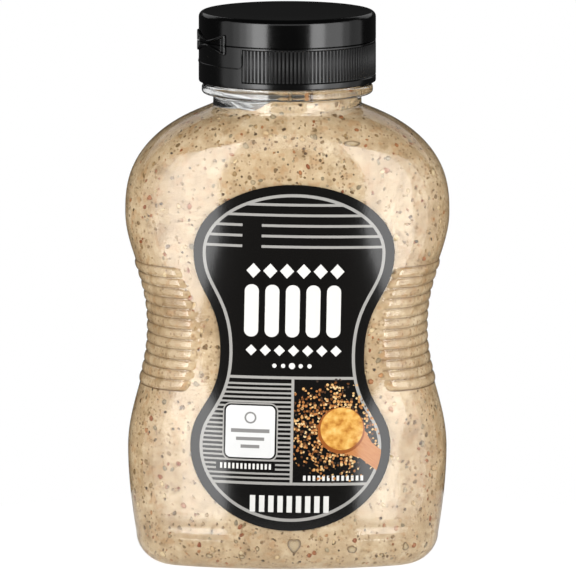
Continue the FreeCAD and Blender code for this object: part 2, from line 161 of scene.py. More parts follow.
class Graph:
    """A node tree that is written as Python expressions."""

    def __init__(self, tree):
        self.tree = tree

    def node(self, kind, settings=None, inputs=None, out=0):
        made = self.tree.nodes.new(kind)
        for name, value in (settings or {}).items():
            if name == "stops":
                set_stops(made.color_ramp, value)
            else:
                setattr(made, name, value)
        for name, value in (inputs or {}).items():
            if isinstance(value, Socket):
                self.tree.links.new(value.socket, made.inputs[name])
            else:
                made.inputs[name].default_value = value
        return Socket(self, made.outputs[out]) if made.outputs else made

    def mix(self, factor, first, second):
        """A colour between two colours."""
        return self.node("ShaderNodeMix", {"data_type": "RGBA"},
                         {0: factor, 6: first, 7: second}, out=2)

    def xyz(self, vector):
        """The three numbers of a vector."""
        parts = self.node("ShaderNodeSeparateXYZ", None, {0: vector})
        return parts.out("X"), parts.out("Y"), parts.out("Z")

    def vector(self, x, y, z):
        return self.node("ShaderNodeCombineXYZ", None, {"X": x, "Y": y, "Z": z})


def set_stops(ramp, stops):
    """Gives a colour ramp its stops, as (place, colour) pairs."""
    while len(ramp.elements) < len(stops):
        ramp.elements.new(1.0)
    for element, (place, colour) in zip(ramp.elements, stops):
        element.position = place
        element.color = colour


def paint(red, green, blue):
    """A colour as it looks on screen, 0 to 255, as the linear numbers that shaders use."""
    def linear(value):
        value /= 255
        return value / 12.92 if value <= 0.04045 else ((value + 0.055) / 1.055) ** 2.4
    return (linear(red), linear(green), linear(blue), 1.0)


def new_material(name):
    """An empty material: the material itself and its graph."""
    made = bpy.data.materials.new(name)
    made.use_nodes = True
    made.node_tree.nodes.clear()
    return made, Graph(made.node_tree)


def finish_material(graph, shader):
    """Joins a shader to the material's output."""
    graph.node("ShaderNodeOutputMaterial", None, {"Surface": shader})


def bump(graph, height, distance, strength):
    """A normal from a height between 0 and 1, for a relief that deep in millimetres."""
    return graph.node("ShaderNodeBump", None,
                      {"Strength": strength, "Distance": distance * MM, "Height": height})


# %% [markdown]
# ## The studio
#
# Packshots of glossy things are lit by tall soft boxes, because what the eye reads as gloss is
# the shape of the lamp in it. Small bright lamps would light the paint as well, but they would
# show as hard spots. Two boxes stand in front at the left and right, with a dark lane between
# them, so each upright wall shows a bright band at either side of a dark middle. Each box fades
# outwards in steps. A bar above the camera draws a light line along the shoulder, and two soft
# lamps light the back. The backdrop is white for the camera and for what is seen through clear
# plastic, and dark for reflections, as in a studio where the camera stands in the dark. The floor
# glows for what is seen through the plastic, which lifts the shade at the heel.
#
# These boxes are strong: a paint on the front shows about one and a half times as bright as it
# is written. So the paints of the mustard and of the print are written darker than they look.

# %% Camera
VIEW_HEIGHT = 64.4 * MM       # the height that the camera looks at
VIEW_SIDE = 0.16 * MM
ELEVATION = math.radians(7.6)
DISTANCE = 4.0
FRAME_WIDTH = 135.1 * MM      # what the picture spans at the bottle's middle
SENSOR = 36.0

scene = bpy.context.scene
scene.view_settings.view_transform = "Standard"
camera = bpy.data.objects.new("camera", bpy.data.cameras.new("camera"))
camera.data.sensor_width = SENSOR
camera.data.lens = SENSOR * DISTANCE / FRAME_WIDTH
camera.data.clip_end = 20.0
camera.location = (VIEW_SIDE, -DISTANCE * math.cos(ELEVATION),
                   VIEW_HEIGHT + DISTANCE * math.sin(ELEVATION))
camera.rotation_euler = (math.radians(90) - ELEVATION, 0, 0)
scene.collection.objects.link(camera)
scene.camera = camera
print("lens %.0f mm" % camera.data.lens)

# %% Lamps
LAMP_DISTANCE = 0.9
FRONT_BOTTOM, FRONT_TOP = -0.35, 0.62        # heights of the lamps, in metres
BAR_BOTTOM, BAR_TOP = 0.36, 0.70
BACK_BOTTOM, BACK_TOP = 0.35, 0.75


def soft_box(name, azimuth, spread, bottom, top, radiance):
    """A rectangular lamp that fills a spread of azimuth, in degrees, seen from the bottle.

    Azimuth is 0 at the camera and positive to its right. Heights are in metres.
    """
    lamp = bpy.data.lights.new(name, "AREA")
    lamp.shape = "RECTANGLE"
    lamp.size = 2 * LAMP_DISTANCE * math.tan(math.radians(spread / 2))
    lamp.size_y = top - bottom
    lamp.energy = radiance * math.pi * lamp.size * lamp.size_y
    turn = math.radians(azimuth)
    holder = bpy.data.objects.new(name, lamp)
    holder.location = (LAMP_DISTANCE * math.sin(turn), -LAMP_DISTANCE * math.cos(turn),
                       (top + bottom) / 2)
    holder.rotation_euler = (math.radians(90), 0, turn)
    holder.visible_camera = False
    scene.collection.objects.link(holder)


# Each box in front: its name, the azimuths of its two edges, and how bright it is.
for name, nearest, farthest, radiance in (
        ("left_box", -26, -46, 6.3), ("left_edge", -46, -54, 3.7), ("left_wing", -54, -64, 2.1),
        ("left_panel", -64, -74, 1.2), ("left_end", -74, -94, 0.7),
        ("right_box", 30, 49, 5.7), ("right_wing", 49, 76, 2.5), ("right_panel", 76, 88, 1.1),
        ("right_end", 88, 112, 0.5)):
    soft_box(name, (nearest + farthest) / 2, abs(farthest - nearest), FRONT_BOTTOM, FRONT_TOP,
             radiance)
soft_box("bar_above", 2, 56, BAR_BOTTOM, BAR_TOP, 1.3)
soft_box("back_left", -150, 40, BACK_BOTTOM, BACK_TOP, 0.5)
soft_box("back_right", 150, 40, BACK_BOTTOM, BACK_TOP, 0.5)
print("%d lamps at %.1f m" % (len(bpy.data.lights), LAMP_DISTANCE))

# %% Backdrop and floor
WHITE = (1, 1, 1, 1)
BACKDROP_FOR_GLOSS = 0.022
BACKDROP_FOR_LIGHT = 0.2
FLOOR_RADIUS = 0.11
FLOOR_WHITE, FLOOR_GLOW = 1.2, 3.3      # for the camera, and for what is seen through plastic
FLOOR_SHARE = 0.8                       # the rest of the floor is paper, which takes shadows

world = bpy.data.worlds.new("studio")
world.use_nodes = True
world.node_tree.nodes.clear()
room = Graph(world.node_tree)
ray = room.node("ShaderNodeLightPath")
seen = ray.most(ray.out("Is Transmission Ray"))
glossy = ray.out("Is Glossy Ray") * (1 - seen)
strength = seen + glossy * BACKDROP_FOR_GLOSS + (1 - seen) * (1 - glossy) * BACKDROP_FOR_LIGHT
backdrop = room.node("ShaderNodeBackground", None, {"Color": WHITE, "Strength": strength})
room.node("ShaderNodeOutputWorld", None, {"Surface": backdrop})
scene.world = world

floor_material, graph = new_material("floor")
ray = graph.node("ShaderNodeLightPath")
paper = graph.node("ShaderNodeBsdfPrincipled", None,
                   {"Base Color": (0.9, 0.9, 0.9, 1), "Roughness": 0.9, "Specular IOR Level": 0.0})
white = graph.node("ShaderNodeEmission", None, {"Color": WHITE, "Strength": FLOOR_WHITE})
glow = graph.node("ShaderNodeEmission", None, {"Color": WHITE, "Strength": FLOOR_GLOW})
lit = graph.node("ShaderNodeMixShader", None, {0: ray * FLOOR_SHARE, 1: paper, 2: white})
finish_material(graph, graph.node("ShaderNodeMixShader", None, {
    0: ray.out("Is Transmission Ray") * FLOOR_SHARE, 1: lit, 2: glow}))
rim_points = []
for step in range(0, 360, 4):
    turn = math.radians(step)
    rim_points.append((FLOOR_RADIUS * math.cos(turn), FLOOR_RADIUS * math.sin(turn), 0.0))
floor_mesh = bpy.data.meshes.new("floor")
floor_mesh.from_pydata(rim_points, [], [list(range(len(rim_points)))])
floor_mesh.materials.append(floor_material)
floor = bpy.data.objects.new("floor", floor_mesh)
scene.collection.objects.link(floor)
floor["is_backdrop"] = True
print("a floor %.2f m across" % (2 * FLOOR_RADIUS))

# %% [markdown]
# ## The bottle's shape
#
# The bottle is blown into a mould. It could be pushed and pulled into shape by hand, but a blown
# bottle is easy to describe by its level sections. Each one here is eight tangent arcs: two broad
# faces, two sides, and four corners that touch both from inside. Half the width swells and narrows
# with height, half the depth stays the same up to the shoulder, and above it both run out into
# the round neck. The broad faces are flatter at the waist than at the lobes. Growing a section
# outwards only lengthens its radii, so the inside of the wall and the skin of the mustard come
# from the same function.

# %% Sizes of the bottle, in millimetres
NECK_RADIUS = 17.35
NECK_WALL = 1.2
WALL = 0.8
HALF_DEPTH = 21.5
LOBE, LOWER_LOBE, NARROW = 38.0, 37.4, 32.5
LOWER_LEVEL, WAIST, UPPER = 27.0, 55.0, 82.5
NECK_FOOT = UPPER + 25.8
PANEL_TOP = UPPER + 9.0
HEEL = 7.0
HEEL_DRAW = 1.9
BROAD_LOW, BROAD_WAIST, BROAD_HIGH = 64.0, 98.0, 72.0      # radii of the broad faces
CORNER = 12.0
PUSH_UP = 1.8
BEAD = NECK_FOOT + 2.4
BEAD_TOP = BEAD + 2.2
BEAD_RADIUS = NECK_RADIUS + 2.7
CORE_INSET = 0.6          # the shoulder aims this far inside the neck
BLEND = 0.35              # and runs into it this softly


def swell(share):
    """A smooth rise from 0 to 1."""
    return (1 - math.cos(math.pi * min(max(share, 0.0), 1.0))) / 2


def shoulder(share):
    """What is left of a lobe at this share of the way up to the neck."""
    share = min(max(share, 0.0), 1.0)
    return (1 - share ** 2.6) ** (0.83 + 0.25 * share ** 12)


def merged(first, second, softness):
    """The larger of two numbers, with a soft change from one to the other."""
    return (first + second + math.hypot(first - second, softness)) / 2


def half_width(level):
    """Half the width of the bottle at a height."""
    if level < LOWER_LEVEL:
        below = (LOWER_LEVEL - max(level, HEEL)) / (LOWER_LEVEL - HEEL)
        return LOWER_LOBE - HEEL_DRAW * below ** 1.8
    if level < WAIST:
        share = (level - LOWER_LEVEL) / (WAIST - LOWER_LEVEL)
        return LOWER_LOBE + (NARROW - LOWER_LOBE) * swell(share)
    if level < UPPER:
        return NARROW + (LOBE - NARROW) * swell(((level - WAIST) / (UPPER - WAIST)) ** 1.2)
    core = NECK_RADIUS - CORE_INSET
    return core + (LOBE - core) * shoulder((level - UPPER) / (NECK_FOOT - UPPER))


def panel_share(level):
    """0 where the broad faces stand upright, rising to 1 at the neck."""
    return min(max((level - PANEL_TOP) / (NECK_FOOT - PANEL_TOP), 0.0), 1.0)


def half_depth(level):
    """Half the depth of the bottle at a height."""
    core = NECK_RADIUS - CORE_INSET
    return core + (HALF_DEPTH - core) * shoulder(panel_share(level))


def broad_radius(level):
    """The broad faces are rounder at the lobes than at the waist."""
    if level < WAIST:
        share = (level - LOWER_LEVEL) / (WAIST - LOWER_LEVEL)
        return BROAD_LOW + (BROAD_WAIST - BROAD_LOW) * swell(share)
    return BROAD_WAIST + (BROAD_HIGH - BROAD_WAIST) * swell((level - WAIST) / (UPPER - WAIST))


def heel_inset(level):
    """How far the round heel draws the walls in."""
    if level >= HEEL:
        return 0.0
    return HEEL - math.sqrt(HEEL ** 2 - (HEEL - level) ** 2)


BROAD_STEPS, CORNER_STEPS, SIDE_STEPS = 38, 14, 8
COLUMNS = 4 * (BROAD_STEPS + CORNER_STEPS + SIDE_STEPS)


def section(level, grow=0.0):
    """Points round the bottle at a height, from the middle of the front, turning to the right."""
    over = max(0.0, level - NECK_FOOT)
    width = merged(half_width(level) - 2 * over, NECK_RADIUS, BLEND)
    depth = merged(half_depth(level) - 2 * over, NECK_RADIUS, BLEND)
    inset = heel_inset(level) - grow
    roundness = panel_share(level) ** 1.5
    front = (broad_radius(level) - HALF_DEPTH) * (1 - roundness) + 0.3 * roundness
    side = 0.65 * (width - depth) - 0.3
    corner = CORNER + (NECK_RADIUS - 1.6 - CORNER) * roundness - inset
    to_front = depth + front - inset - corner
    to_side = width - side - inset - corner
    span = math.hypot(side, front)
    along = (to_front ** 2 - to_side ** 2 + span ** 2) / (2 * span)
    across = math.sqrt(max(to_front ** 2 - along ** 2, 0.0))
    unit = (side / span, -front / span)
    corner_x = unit[0] * along - unit[1] * across
    corner_y = front + unit[1] * along + unit[0] * across
    broad_turn = math.atan2(corner_x, front - corner_y)
    side_turn = math.atan2(corner_x - side, -corner_y)
    quarter = []
    for centre, radius, start, stop, steps in (
            ((0.0, front), depth + front - inset, 0.0, broad_turn, BROAD_STEPS),
            ((corner_x, corner_y), corner, broad_turn, side_turn, CORNER_STEPS),
            ((side, 0.0), width - side - inset, side_turn, math.pi / 2, SIDE_STEPS)):
        turns = start + (stop - start) * np.arange(steps) / steps
        quarter.append(np.stack([centre[0] + radius * np.sin(turns),
                                 centre[1] - radius * np.cos(turns)], axis=1))
    quarter = np.concatenate(quarter)
    end = np.array([[width - inset, 0.0]])
    back = np.concatenate([end, quarter[:0:-1]])
    loop = np.concatenate([quarter, back * (1, -1), quarter * (-1, -1), back * (-1, 1)])
    return np.column_stack([loop, np.full(len(loop), level)])


print("%d columns, %.1f mm wide at the upper lobe" % (COLUMNS, section(UPPER)[:, 0].max() * 2))

# %% [markdown]
# A skin is a stack of such rows. One helper joins any rows of equal length into a mesh and can
# close either end with a point, so no hole is left at a pole. Another stores a number for every
# point, which a material or a geometry tree can read by name.


# %% Rows to mesh
def skin(rows, first_pole=None, last_pole=None, ring=False):
    """Points and faces from rows of points that run round; a pole closes the first or last row.

    With ring set, the last row is joined to the first, as on a ring.
    """
    rows = np.asarray(rows, dtype=float)
    count, width = rows.shape[:2]
    points = rows.reshape(-1, 3).tolist()
    faces = []
    for row in range(count if ring else count - 1):
        above = (row + 1) % count
        for column in range(width):
            right = (column + 1) % width
            faces.append((row * width + column, row * width + right,
                          above * width + right, above * width + column))
    for pole, row, turn in ((first_pole, 0, -1), (last_pole, count - 1, 1)):
        if pole is not None:
            for column in range(width):
                right = (column + 1) % width
                faces.append((row * width + column, row * width + right, len(points))[::turn])
            points.append(tuple(pole))
    return points, faces


def mesh_of(name, *parts):
    """One mesh from several lots of points and faces, in millimetres."""
    points, faces = [], []
    for some_points, some_faces in parts:
        start = len(points)
        points += some_points
        faces += [tuple(start + corner for corner in face) for face in some_faces]
    mesh = bpy.data.meshes.new(name)
    mesh.from_pydata((np.array(points) * MM).tolist(), [], faces)
    mesh.update()
    return mesh


def store(mesh, name, numbers):
    """A number for every point of a mesh, kept under a name."""
    layer = mesh.attributes.new(name, "FLOAT", "POINT")
    layer.data.foreach_set("value", np.asarray(numbers, dtype=np.float32))


def smooth(mesh, sharp=None):
    """Smooth shading, with edges that turn by more than an angle in degrees kept sharp."""
    mesh.polygons.foreach_set("use_smooth", [True] * len(mesh.polygons))
    if sharp:
        mesh.set_sharp_from_angle(angle=math.radians(sharp))


def piece(name, mesh, body, material=None):
    """A finished piece, riding on its body, with a material if one is given."""
    made = bpy.data.objects.new(name, mesh)
    scene.collection.objects.link(made)
    if material:
        mesh.materials.clear()
        mesh.materials.append(material)
    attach(made, body)
    triangles = sum(len(face.vertices) - 2 for face in mesh.polygons)
    print("%-16s %6d triangles" % (name, triangles))
    return made


def spread(start, stop, step):
    """Levels from start up to stop, without stop, about a step apart."""
    count = max(1, round((stop - start) / step))
    return [start + (stop - start) * number / count for number in range(count)]


# %% [markdown]
# ## Grip ribs by a geometry tree
#
# Twelve low beads run round each side of the waist and end in round tips that keep clear of the
# label. They could be modelled one by one, but they follow a rule: the height over the wall
# depends only on how far a point is from the middle line of its rib. So the plain skin carries
# one number, its distance past the ribs' ends, and a tree lifts every point along its normal.
# It also notes how deep between two ribs each point lies, which the mustard's paint turns into
# painted shade there. The same tree runs on the mustard inside, whose skin follows the wall.

# %% Sizes of the ribs and of the label's waist
RIB_COUNT, RIB_PITCH, RIB_RISE = 12, 2.4, 0.48
RIB_RISE_INSIDE = 0.42
RIB_LOWEST = WAIST + 2.0 - RIB_PITCH * (RIB_COUNT - 1) / 2
RIB_TO_LABEL = 4.4
LABEL_LOBE, LABEL_LOWER, LABEL_NARROW = LOBE - 14.5, LOWER_LOBE - 14.5, NARROW - 15.7


def rib_start(level):
    """How far from the middle the ribs begin at a height."""
    if level > WAIST:
        lobe, share = LABEL_LOBE, (level - WAIST) / (UPPER - WAIST)
    else:
        lobe, share = LABEL_LOWER, (WAIST - level) / (WAIST - LOWER_LEVEL)
    return LABEL_NARROW + (lobe - LABEL_NARROW) * swell(share) + RIB_TO_LABEL


def past_ends(rows):
    """For every point of the rows, how far it is past the ribs' ends."""
    return np.concatenate([np.abs(row[:, 0]) - rib_start(row[0][2]) for row in rows])


# %% The tree that raises ribs
def new_tree(name, sizes):
    """A geometry tree with a mesh in, a mesh out and named sizes."""
    tree = bpy.data.node_groups.new(name, "GeometryNodeTree")
    tree.interface.new_socket("Geometry", in_out="INPUT", socket_type="NodeSocketGeometry")
    tree.interface.new_socket("Geometry", in_out="OUTPUT", socket_type="NodeSocketGeometry")
    for size, kind in sizes.items():
        tree.interface.new_socket(size, in_out="INPUT", socket_type="NodeSocket" + kind)
    graph = Graph(tree)
    return tree, graph, graph.node("NodeGroupInput")


def finish_tree(graph, geometry, material):
    """Ends a tree in real meshes with a material."""
    real = graph.node("GeometryNodeRealizeInstances", None, {"Geometry": geometry})
    painted = graph.node("GeometryNodeSetMaterial", None, {"Geometry": real, "Material": material})
    graph.node("NodeGroupOutput", None, {"Geometry": painted})


def grown(name, mesh, tree, values):
    """The plain mesh that a tree makes of a mesh, with the sizes given by name."""
    holder = bpy.data.objects.new(name, mesh)
    scene.collection.objects.link(holder)
    modifier = holder.modifiers.new(name, "NODES")
    modifier.node_group = tree
    for item in tree.interface.items_tree:
        if item.in_out == "INPUT" and item.name in values:
            modifier[item.identifier] = values[item.name]
    graph = bpy.context.evaluated_depsgraph_get()
    result = bpy.data.meshes.new_from_object(holder.evaluated_get(graph), depsgraph=graph,
                                             preserve_all_data_layers=True)
    holder.modifiers.remove(modifier)
    bpy.data.objects.remove(holder)
    result.name = name
    return result


rib_tree, graph, given = new_tree("raise_ribs", {
    "Lowest": "Float", "Pitch": "Float", "Count": "Float", "Rise": "Float", "Skin": "Material"})
place = graph.node("GeometryNodeInputPosition")
_, _, height = graph.xyz(place)
turn = (height / MM - given.out("Lowest")) / given.out("Pitch")
nearest = turn.math("ROUND").most(0.0).least(given.out("Count") - 1)
across = abs(turn - nearest) * 2
past = graph.node("GeometryNodeInputNamedAttribute", {"data_type": "FLOAT"}, {"Name": "past_end"})
beyond = (1 - past / (given.out("Pitch") / 2)).most(0.0)
away = (across * across + beyond * beyond).least(1.0)
lift = (1 - away) ** 0.62 * given.out("Rise") * MM
# How deep a point lies between two ribs; the mustard's paint darkens it there as painted shade.
groove = across ** 4.0 * (1 - beyond).most(0.0) * (abs(turn - nearest) < 0.6)
normal = graph.node("GeometryNodeInputNormal")
offset = graph.node("ShaderNodeVectorMath", {"operation": "SCALE"}, {0: normal, "Scale": lift})
raised = graph.node("GeometryNodeSetPosition", None,
                    {"Geometry": given.out("Geometry"), "Offset": offset})
marked = graph.node("GeometryNodeStoreNamedAttribute", {"data_type": "FLOAT"},
                    {"Geometry": raised, "Name": "groove", "Value": groove})
finish_tree(graph, marked, given.out("Skin"))
RIB_SIZES = {"Lowest": RIB_LOWEST, "Pitch": RIB_PITCH, "Count": float(RIB_COUNT), "Rise": RIB_RISE}
print("ribs from %.1f to %.1f mm" % (RIB_LOWEST, RIB_LOWEST + RIB_PITCH * (RIB_COUNT - 1)))

# %% [markdown]
# ## Clear plastic
#
# The bottle is drawn as real clear plastic with a front and a back to its wall. Lamps can't find
# their way through a refracting surface by chance, so for shadow rays the plastic is simply
# transparent. Its gloss is a little uneven, as blown plastic is.

# %% The bottle's material
clear, graph = new_material("clear_plastic")
where = graph.node("ShaderNodeTexCoord").out("Object")
ripple = graph.node("ShaderNodeTexNoise", None, {"Vector": where, "Scale": 90.0, "Detail": 1.0})
plastic = graph.node("ShaderNodeBsdfPrincipled", None, {
    "Base Color": (0.985, 0.99, 0.985, 1), "Roughness": 0.11, "IOR": 1.57,
    "Transmission Weight": 1.0, "Normal": bump(graph, ripple, 0.05, 0.6)})
ray = graph.node("ShaderNodeLightPath")
through = graph.node("ShaderNodeBsdfTransparent", None, {"Color": (0.97, 0.98, 0.97, 1)})
finish_material(graph, graph.node("ShaderNodeMixShader", None,
                                  {0: ray.out("Is Shadow Ray"), 1: plastic, 2: through}))
print("clear plastic of %d nodes" % len(clear.node_tree.nodes))

# %% Rows for the bottle's wall
PUSH_UP_WIDTH, PUSH_UP_DEPTH = LOWER_LOBE - HEEL - 5, HALF_DEPTH - HEEL - 2
STEP_LEVELS, STEP_RISE, STEPS_END = (9.4, 6.8), 0.09, 14


def turned(outline, steps):
    """Round rows from pairs of radius and height."""
    turns = 2 * math.pi * np.arange(steps) / steps
    return [np.column_stack([radius * np.sin(turns), -radius * np.cos(turns),
                             np.full(steps, height)]) for radius, height in outline]


def base_rows(grow, lift, steps):
    """Rows of the base, from its middle out to the ring that the bottle stands on."""
    ring = section(0.0, grow)
    rows = []
    for step in range(1, steps):
        row = ring * (step / steps, step / steps, 1)
        reach = (row[:, 0] / PUSH_UP_WIDTH) ** 2 + (row[:, 1] / PUSH_UP_DEPTH) ** 2
        row[:, 2] = lift + PUSH_UP * np.sqrt(np.clip(1 - reach, 0, None))
        rows.append(row)
    return rows


def panel_step(row):
    """The two low steps that run along the foot of both broad faces."""
    level = row[0][2]
    if level > STEPS_END:
        return row
    across = np.abs(row[:, 0])
    edge = np.clip((across - 7) / 6, 0, 1) * np.clip((29 - across) / 4, 0, 1)
    rise = sum(STEP_RISE / (1 + math.exp((level - step) / 0.2)) for step in STEP_LEVELS) * edge
    out = row.copy()
    out[:, 1] += np.sign(row[:, 1]) * rise * np.where(np.abs(row[:, 1]) > 8, 1, 0)
    return out


# %% Levels and outlines of the wall
heel_levels = [HEEL * (1 - math.cos(math.radians(9 * step))) for step in range(10)]
wall_levels = (heel_levels + spread(HEEL, 11.5, 0.35) + spread(11.5, RIB_LOWEST - 2, 1.2)
               + spread(RIB_LOWEST - 2, RIB_LOWEST + RIB_PITCH * RIB_COUNT, RIB_PITCH / 10)
               + spread(RIB_LOWEST + RIB_PITCH * RIB_COUNT, PANEL_TOP, 1.2)
               + spread(PANEL_TOP, NECK_FOOT - 1.5, 0.7) + spread(NECK_FOOT - 1.5, BEAD - 0.3, 0.3))
UNDER, OVER = 0.7, 0.9      # the rounds under and over the neck's bead
bead = [(NECK_RADIUS + 0.25, BEAD - 0.15), (NECK_RADIUS + 0.9, BEAD), (BEAD_RADIUS - UNDER, BEAD)]
bead += [(BEAD_RADIUS - UNDER + UNDER * math.sin(math.radians(angle)),
          BEAD + UNDER - UNDER * math.cos(math.radians(angle))) for angle in (20, 40, 60, 80, 90)]
bead += [(BEAD_RADIUS - OVER + OVER * math.cos(math.radians(angle)),
          BEAD_TOP - OVER + OVER * math.sin(math.radians(angle)))
         for angle in (0, 20, 40, 60, 80, 90)]
bead += [(NECK_RADIUS + 0.6, BEAD_TOP), (NECK_RADIUS + 0.1, BEAD_TOP + 0.2),
         (NECK_RADIUS, BEAD_TOP + 0.8), (NECK_RADIUS, RIM - 0.3), (NECK_RADIUS - 0.2, RIM)]
outside = [panel_step(section(level)) for level in wall_levels]
neck_rows = turned(bead, COLUMNS)
inner_bore = NECK_RADIUS - NECK_WALL
inner_neck = turned([(inner_bore + 0.2, RIM), (inner_bore, RIM - 0.3), (inner_bore, BEAD)], COLUMNS)
print("%d levels up the wall, %d round the bead" % (len(wall_levels), len(bead)))


def inner(level, inset):
    """A section set in from the outside all round, floor and top too, no narrower than the bore."""
    row = section(level, -inset)
    row[:, 2] = inset + level * (1 - 2 * inset / NECK_FOOT)
    if level > NECK_FOOT - 3:
        scale = np.maximum((inner_bore + WALL - inset) / np.hypot(row[:, 0], row[:, 1]), 1)
        row[:, :2] *= scale[:, None]
    return row


# %% The bottle's wall
NO_RIBS = -99.0           # what points that stay clear of the ribs carry
inside = [inner(level, WALL) for level in wall_levels[::-3] if 0.3 < level < NECK_FOOT]
floor_ring = section(0.0, -WALL) * (1, 1, 0) + (0, 0, WALL)
base_out = base_rows(0.0, 0.0, 10)
base_in = [row * (0.97, 0.95, 1) for row in base_rows(0.0, WALL, 10)]
wall_rows = base_out + outside + neck_rows + inner_neck + inside + [floor_ring] + base_in[::-1]
wall_mesh = mesh_of("bottle_wall", skin(wall_rows, (0, 0, PUSH_UP), (0, 0, PUSH_UP + WALL)))
past = past_ends(wall_rows)
ribbed = np.concatenate([np.full(COLUMNS, 1.0 if number < len(base_out) + len(outside) else 0.0)
                         for number in range(len(wall_rows))])
store(wall_mesh, "past_end", np.append(np.where(ribbed > 0, past, NO_RIBS), [NO_RIBS] * 2))
wall_mesh = grown("bottle_wall", wall_mesh, rib_tree, dict(RIB_SIZES, Skin=clear))
smooth(wall_mesh)
bottle = piece("bottle_wall", wall_mesh, "bottle")
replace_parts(bottle, "bottle")

# %% [markdown]
# ## Mustard
#
# What fills a clear bottle must leave no air under the wall, so its skin lies inside the wall,
# 0.3 mm from the wall's inner face. The paint is a cream that clouds from grain to grain. The
# largest share of its look is sunk in it: dark specks, rust-coloured flakes, bran and hulls. Noise
# alone would look printed, and stones alone would take millions. So the finest grit and the blurred
# husks are noise in the paint, and what the eye can pick out is real stones, sown further down. In
# the neck the level is not flat: the bottle was turned about, and one side slipped down.

# %% Mustard paint
SINK = 0.5            # how deep under the outside the mustard's skin lies

mustard_paint, graph = new_material("mustard_paint")
where = graph.node("ShaderNodeTexCoord").out("Object")
cloud = graph.node("ShaderNodeTexNoise", None, {"Vector": where, "Scale": 75.0, "Detail": 3.0})
mottle = graph.node("ShaderNodeTexNoise", None, {"Vector": where, "Scale": 330.0, "Detail": 4.0,
                                                 "Roughness": 0.65})
cream = graph.node("ShaderNodeValToRGB", {"stops": [
    (0.3, paint(122, 99, 70)), (0.44, paint(144, 123, 93)), (0.56, paint(160, 141, 112)),
    (0.7, paint(179, 164, 139))]}, {0: cloud * 0.45 + mottle * 0.55})
sunk = graph.node("ShaderNodeTexNoise", None, {"Vector": where, "Scale": 520.0, "Detail": 1.0})
tan = graph.mix(((sunk - 0.56) * 9.0).clamped() * 0.45, cream, paint(142, 106, 66))
husk = graph.node("ShaderNodeTexNoise", None, {"Vector": where, "Scale": 240.0, "Detail": 3.0,
                                               "Roughness": 0.7})
tan = graph.mix(((husk - 0.57) * 8.0).clamped() * 0.65, tan, paint(118, 96, 64))
grit = graph.node("ShaderNodeTexVoronoi", None, {"Vector": where, "Scale": 1150.0})
pick, _, _ = graph.xyz(grit.out("Color"))
dot = (grit < 0.32) * (pick > 0.6)
fine = graph.mix(dot * 0.6, tan, paint(100, 72, 44))
# Painted shade between the grip ribs: the paste is darkened where it lies deep between two ribs.
groove_shade_mask = graph.node("ShaderNodeAttribute", {"attribute_name": "groove"}).out("Fac")
shaded = graph.mix(groove_shade_mask * 0.75, fine, paint(92, 68, 42))
relief = graph.node("ShaderNodeTexNoise", None, {"Vector": where, "Scale": 900.0, "Detail": 2.0})
paste = graph.node("ShaderNodeBsdfPrincipled", None, {
    "Base Color": shaded, "Roughness": 0.6, "Specular IOR Level": 0.3,
    "Normal": bump(graph, relief, 0.12, 0.6)})
finish_material(graph, paste)
print("mustard paint of %d nodes" % len(mustard_paint.node_tree.nodes))

# %% Mustard skin
LOW_SIDE, LOW_SPREAD = math.radians(-84), math.radians(66)     # the side that slipped down
LOW_LEVEL, HIGH_LEVEL = NECK_FOOT - 0.7, FILL - 0.1


def fill_top(x, y):
    """Height of the mustard's top in the neck."""
    turn = np.arctan2(x, -y)
    away = np.abs((turn - LOW_SIDE + math.pi) % (2 * math.pi) - math.pi)
    slipped = 1 / (1 + np.exp((away - LOW_SPREAD) / 0.09))
    ripple = 0.3 * np.sin(3 * turn + 1) + 0.2 * np.sin(11 * turn)
    return HIGH_LEVEL - (HIGH_LEVEL - LOW_LEVEL) * slipped - np.abs(ripple) * (1 - slipped)


COLLAR_ROWS = 8
CROWN_SHARES = (0.97, 0.9, 0.75, 0.55, 0.35, 0.15)
fill_rows = [row * (0.99, 0.98, 1) for row in base_rows(-SINK, SINK, 10)]
fill_rows += [inner(level, SINK) for level in wall_levels if level < NECK_FOOT - 1.6]
collar = turned([(inner_bore + 0.15, NECK_FOOT - 1.0)], COLUMNS)[0]
top = fill_top(collar[:, 0], collar[:, 1])
for share in np.linspace(0, 1, COLLAR_ROWS):
    row = collar.copy()
    row[:, 2] += (top - collar[:, 2]) * share
    fill_rows.append(row)
middle = float(top.mean()) - 0.4
for share in CROWN_SHARES:
    row = collar * (share, share, 1)
    row[:, 2] = middle + (top + 0.1 - middle) * share ** 2
    fill_rows.append(row)
fill_mesh = mesh_of("mustard_fill", skin(fill_rows, (0, 0, PUSH_UP + SINK), (0, 0, middle)))
store(fill_mesh, "past_end", np.append(past_ends(fill_rows), [NO_RIBS] * 2))
fill_mesh = grown("mustard_fill", fill_mesh, rib_tree,
                  dict(RIB_SIZES, Rise=RIB_RISE_INSIDE, Skin=mustard_paint))
smooth(fill_mesh)
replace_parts(piece("mustard_fill", fill_mesh, "bottle"), "mustard")

# %% [markdown]
# ## The label's outline
#
# The label keeps its own coordinates: millimetres across, and height. Its edge is a chain of four
# curves, a quarter of an ellipse at either end and two long S-shaped sides drawn in at the waist.
# The same chain tells the grains which of them would lie unseen behind the film.

# %% Label coordinates
LABEL_TOP, LABEL_BOTTOM = PANEL_TOP, LOWER_LEVEL - 17.0
LABEL_WAIST = WAIST - 3.5
LABEL_SHIFT, LABEL_TILT = 1.2, math.radians(1.1)
ELLIPSE_PULL, LOBE_PULL, WAIST_PULL = 0.5523, 0.42, 0.55
LABEL_LOW_HALF = LOWER_LOBE - 14.0
HIDING = 1.2              # only what lies this far behind the film's edge is hidden for good


def bezier(poles, steps):
    """Points along a curve with four poles, without its last point."""
    poles = np.array(poles, dtype=float)
    share = (np.arange(steps) / steps)[:, None]
    rest = 1 - share
    return (rest ** 3 * poles[0] + 3 * rest ** 2 * share * poles[1]
            + 3 * rest * share ** 2 * poles[2] + share ** 3 * poles[3])


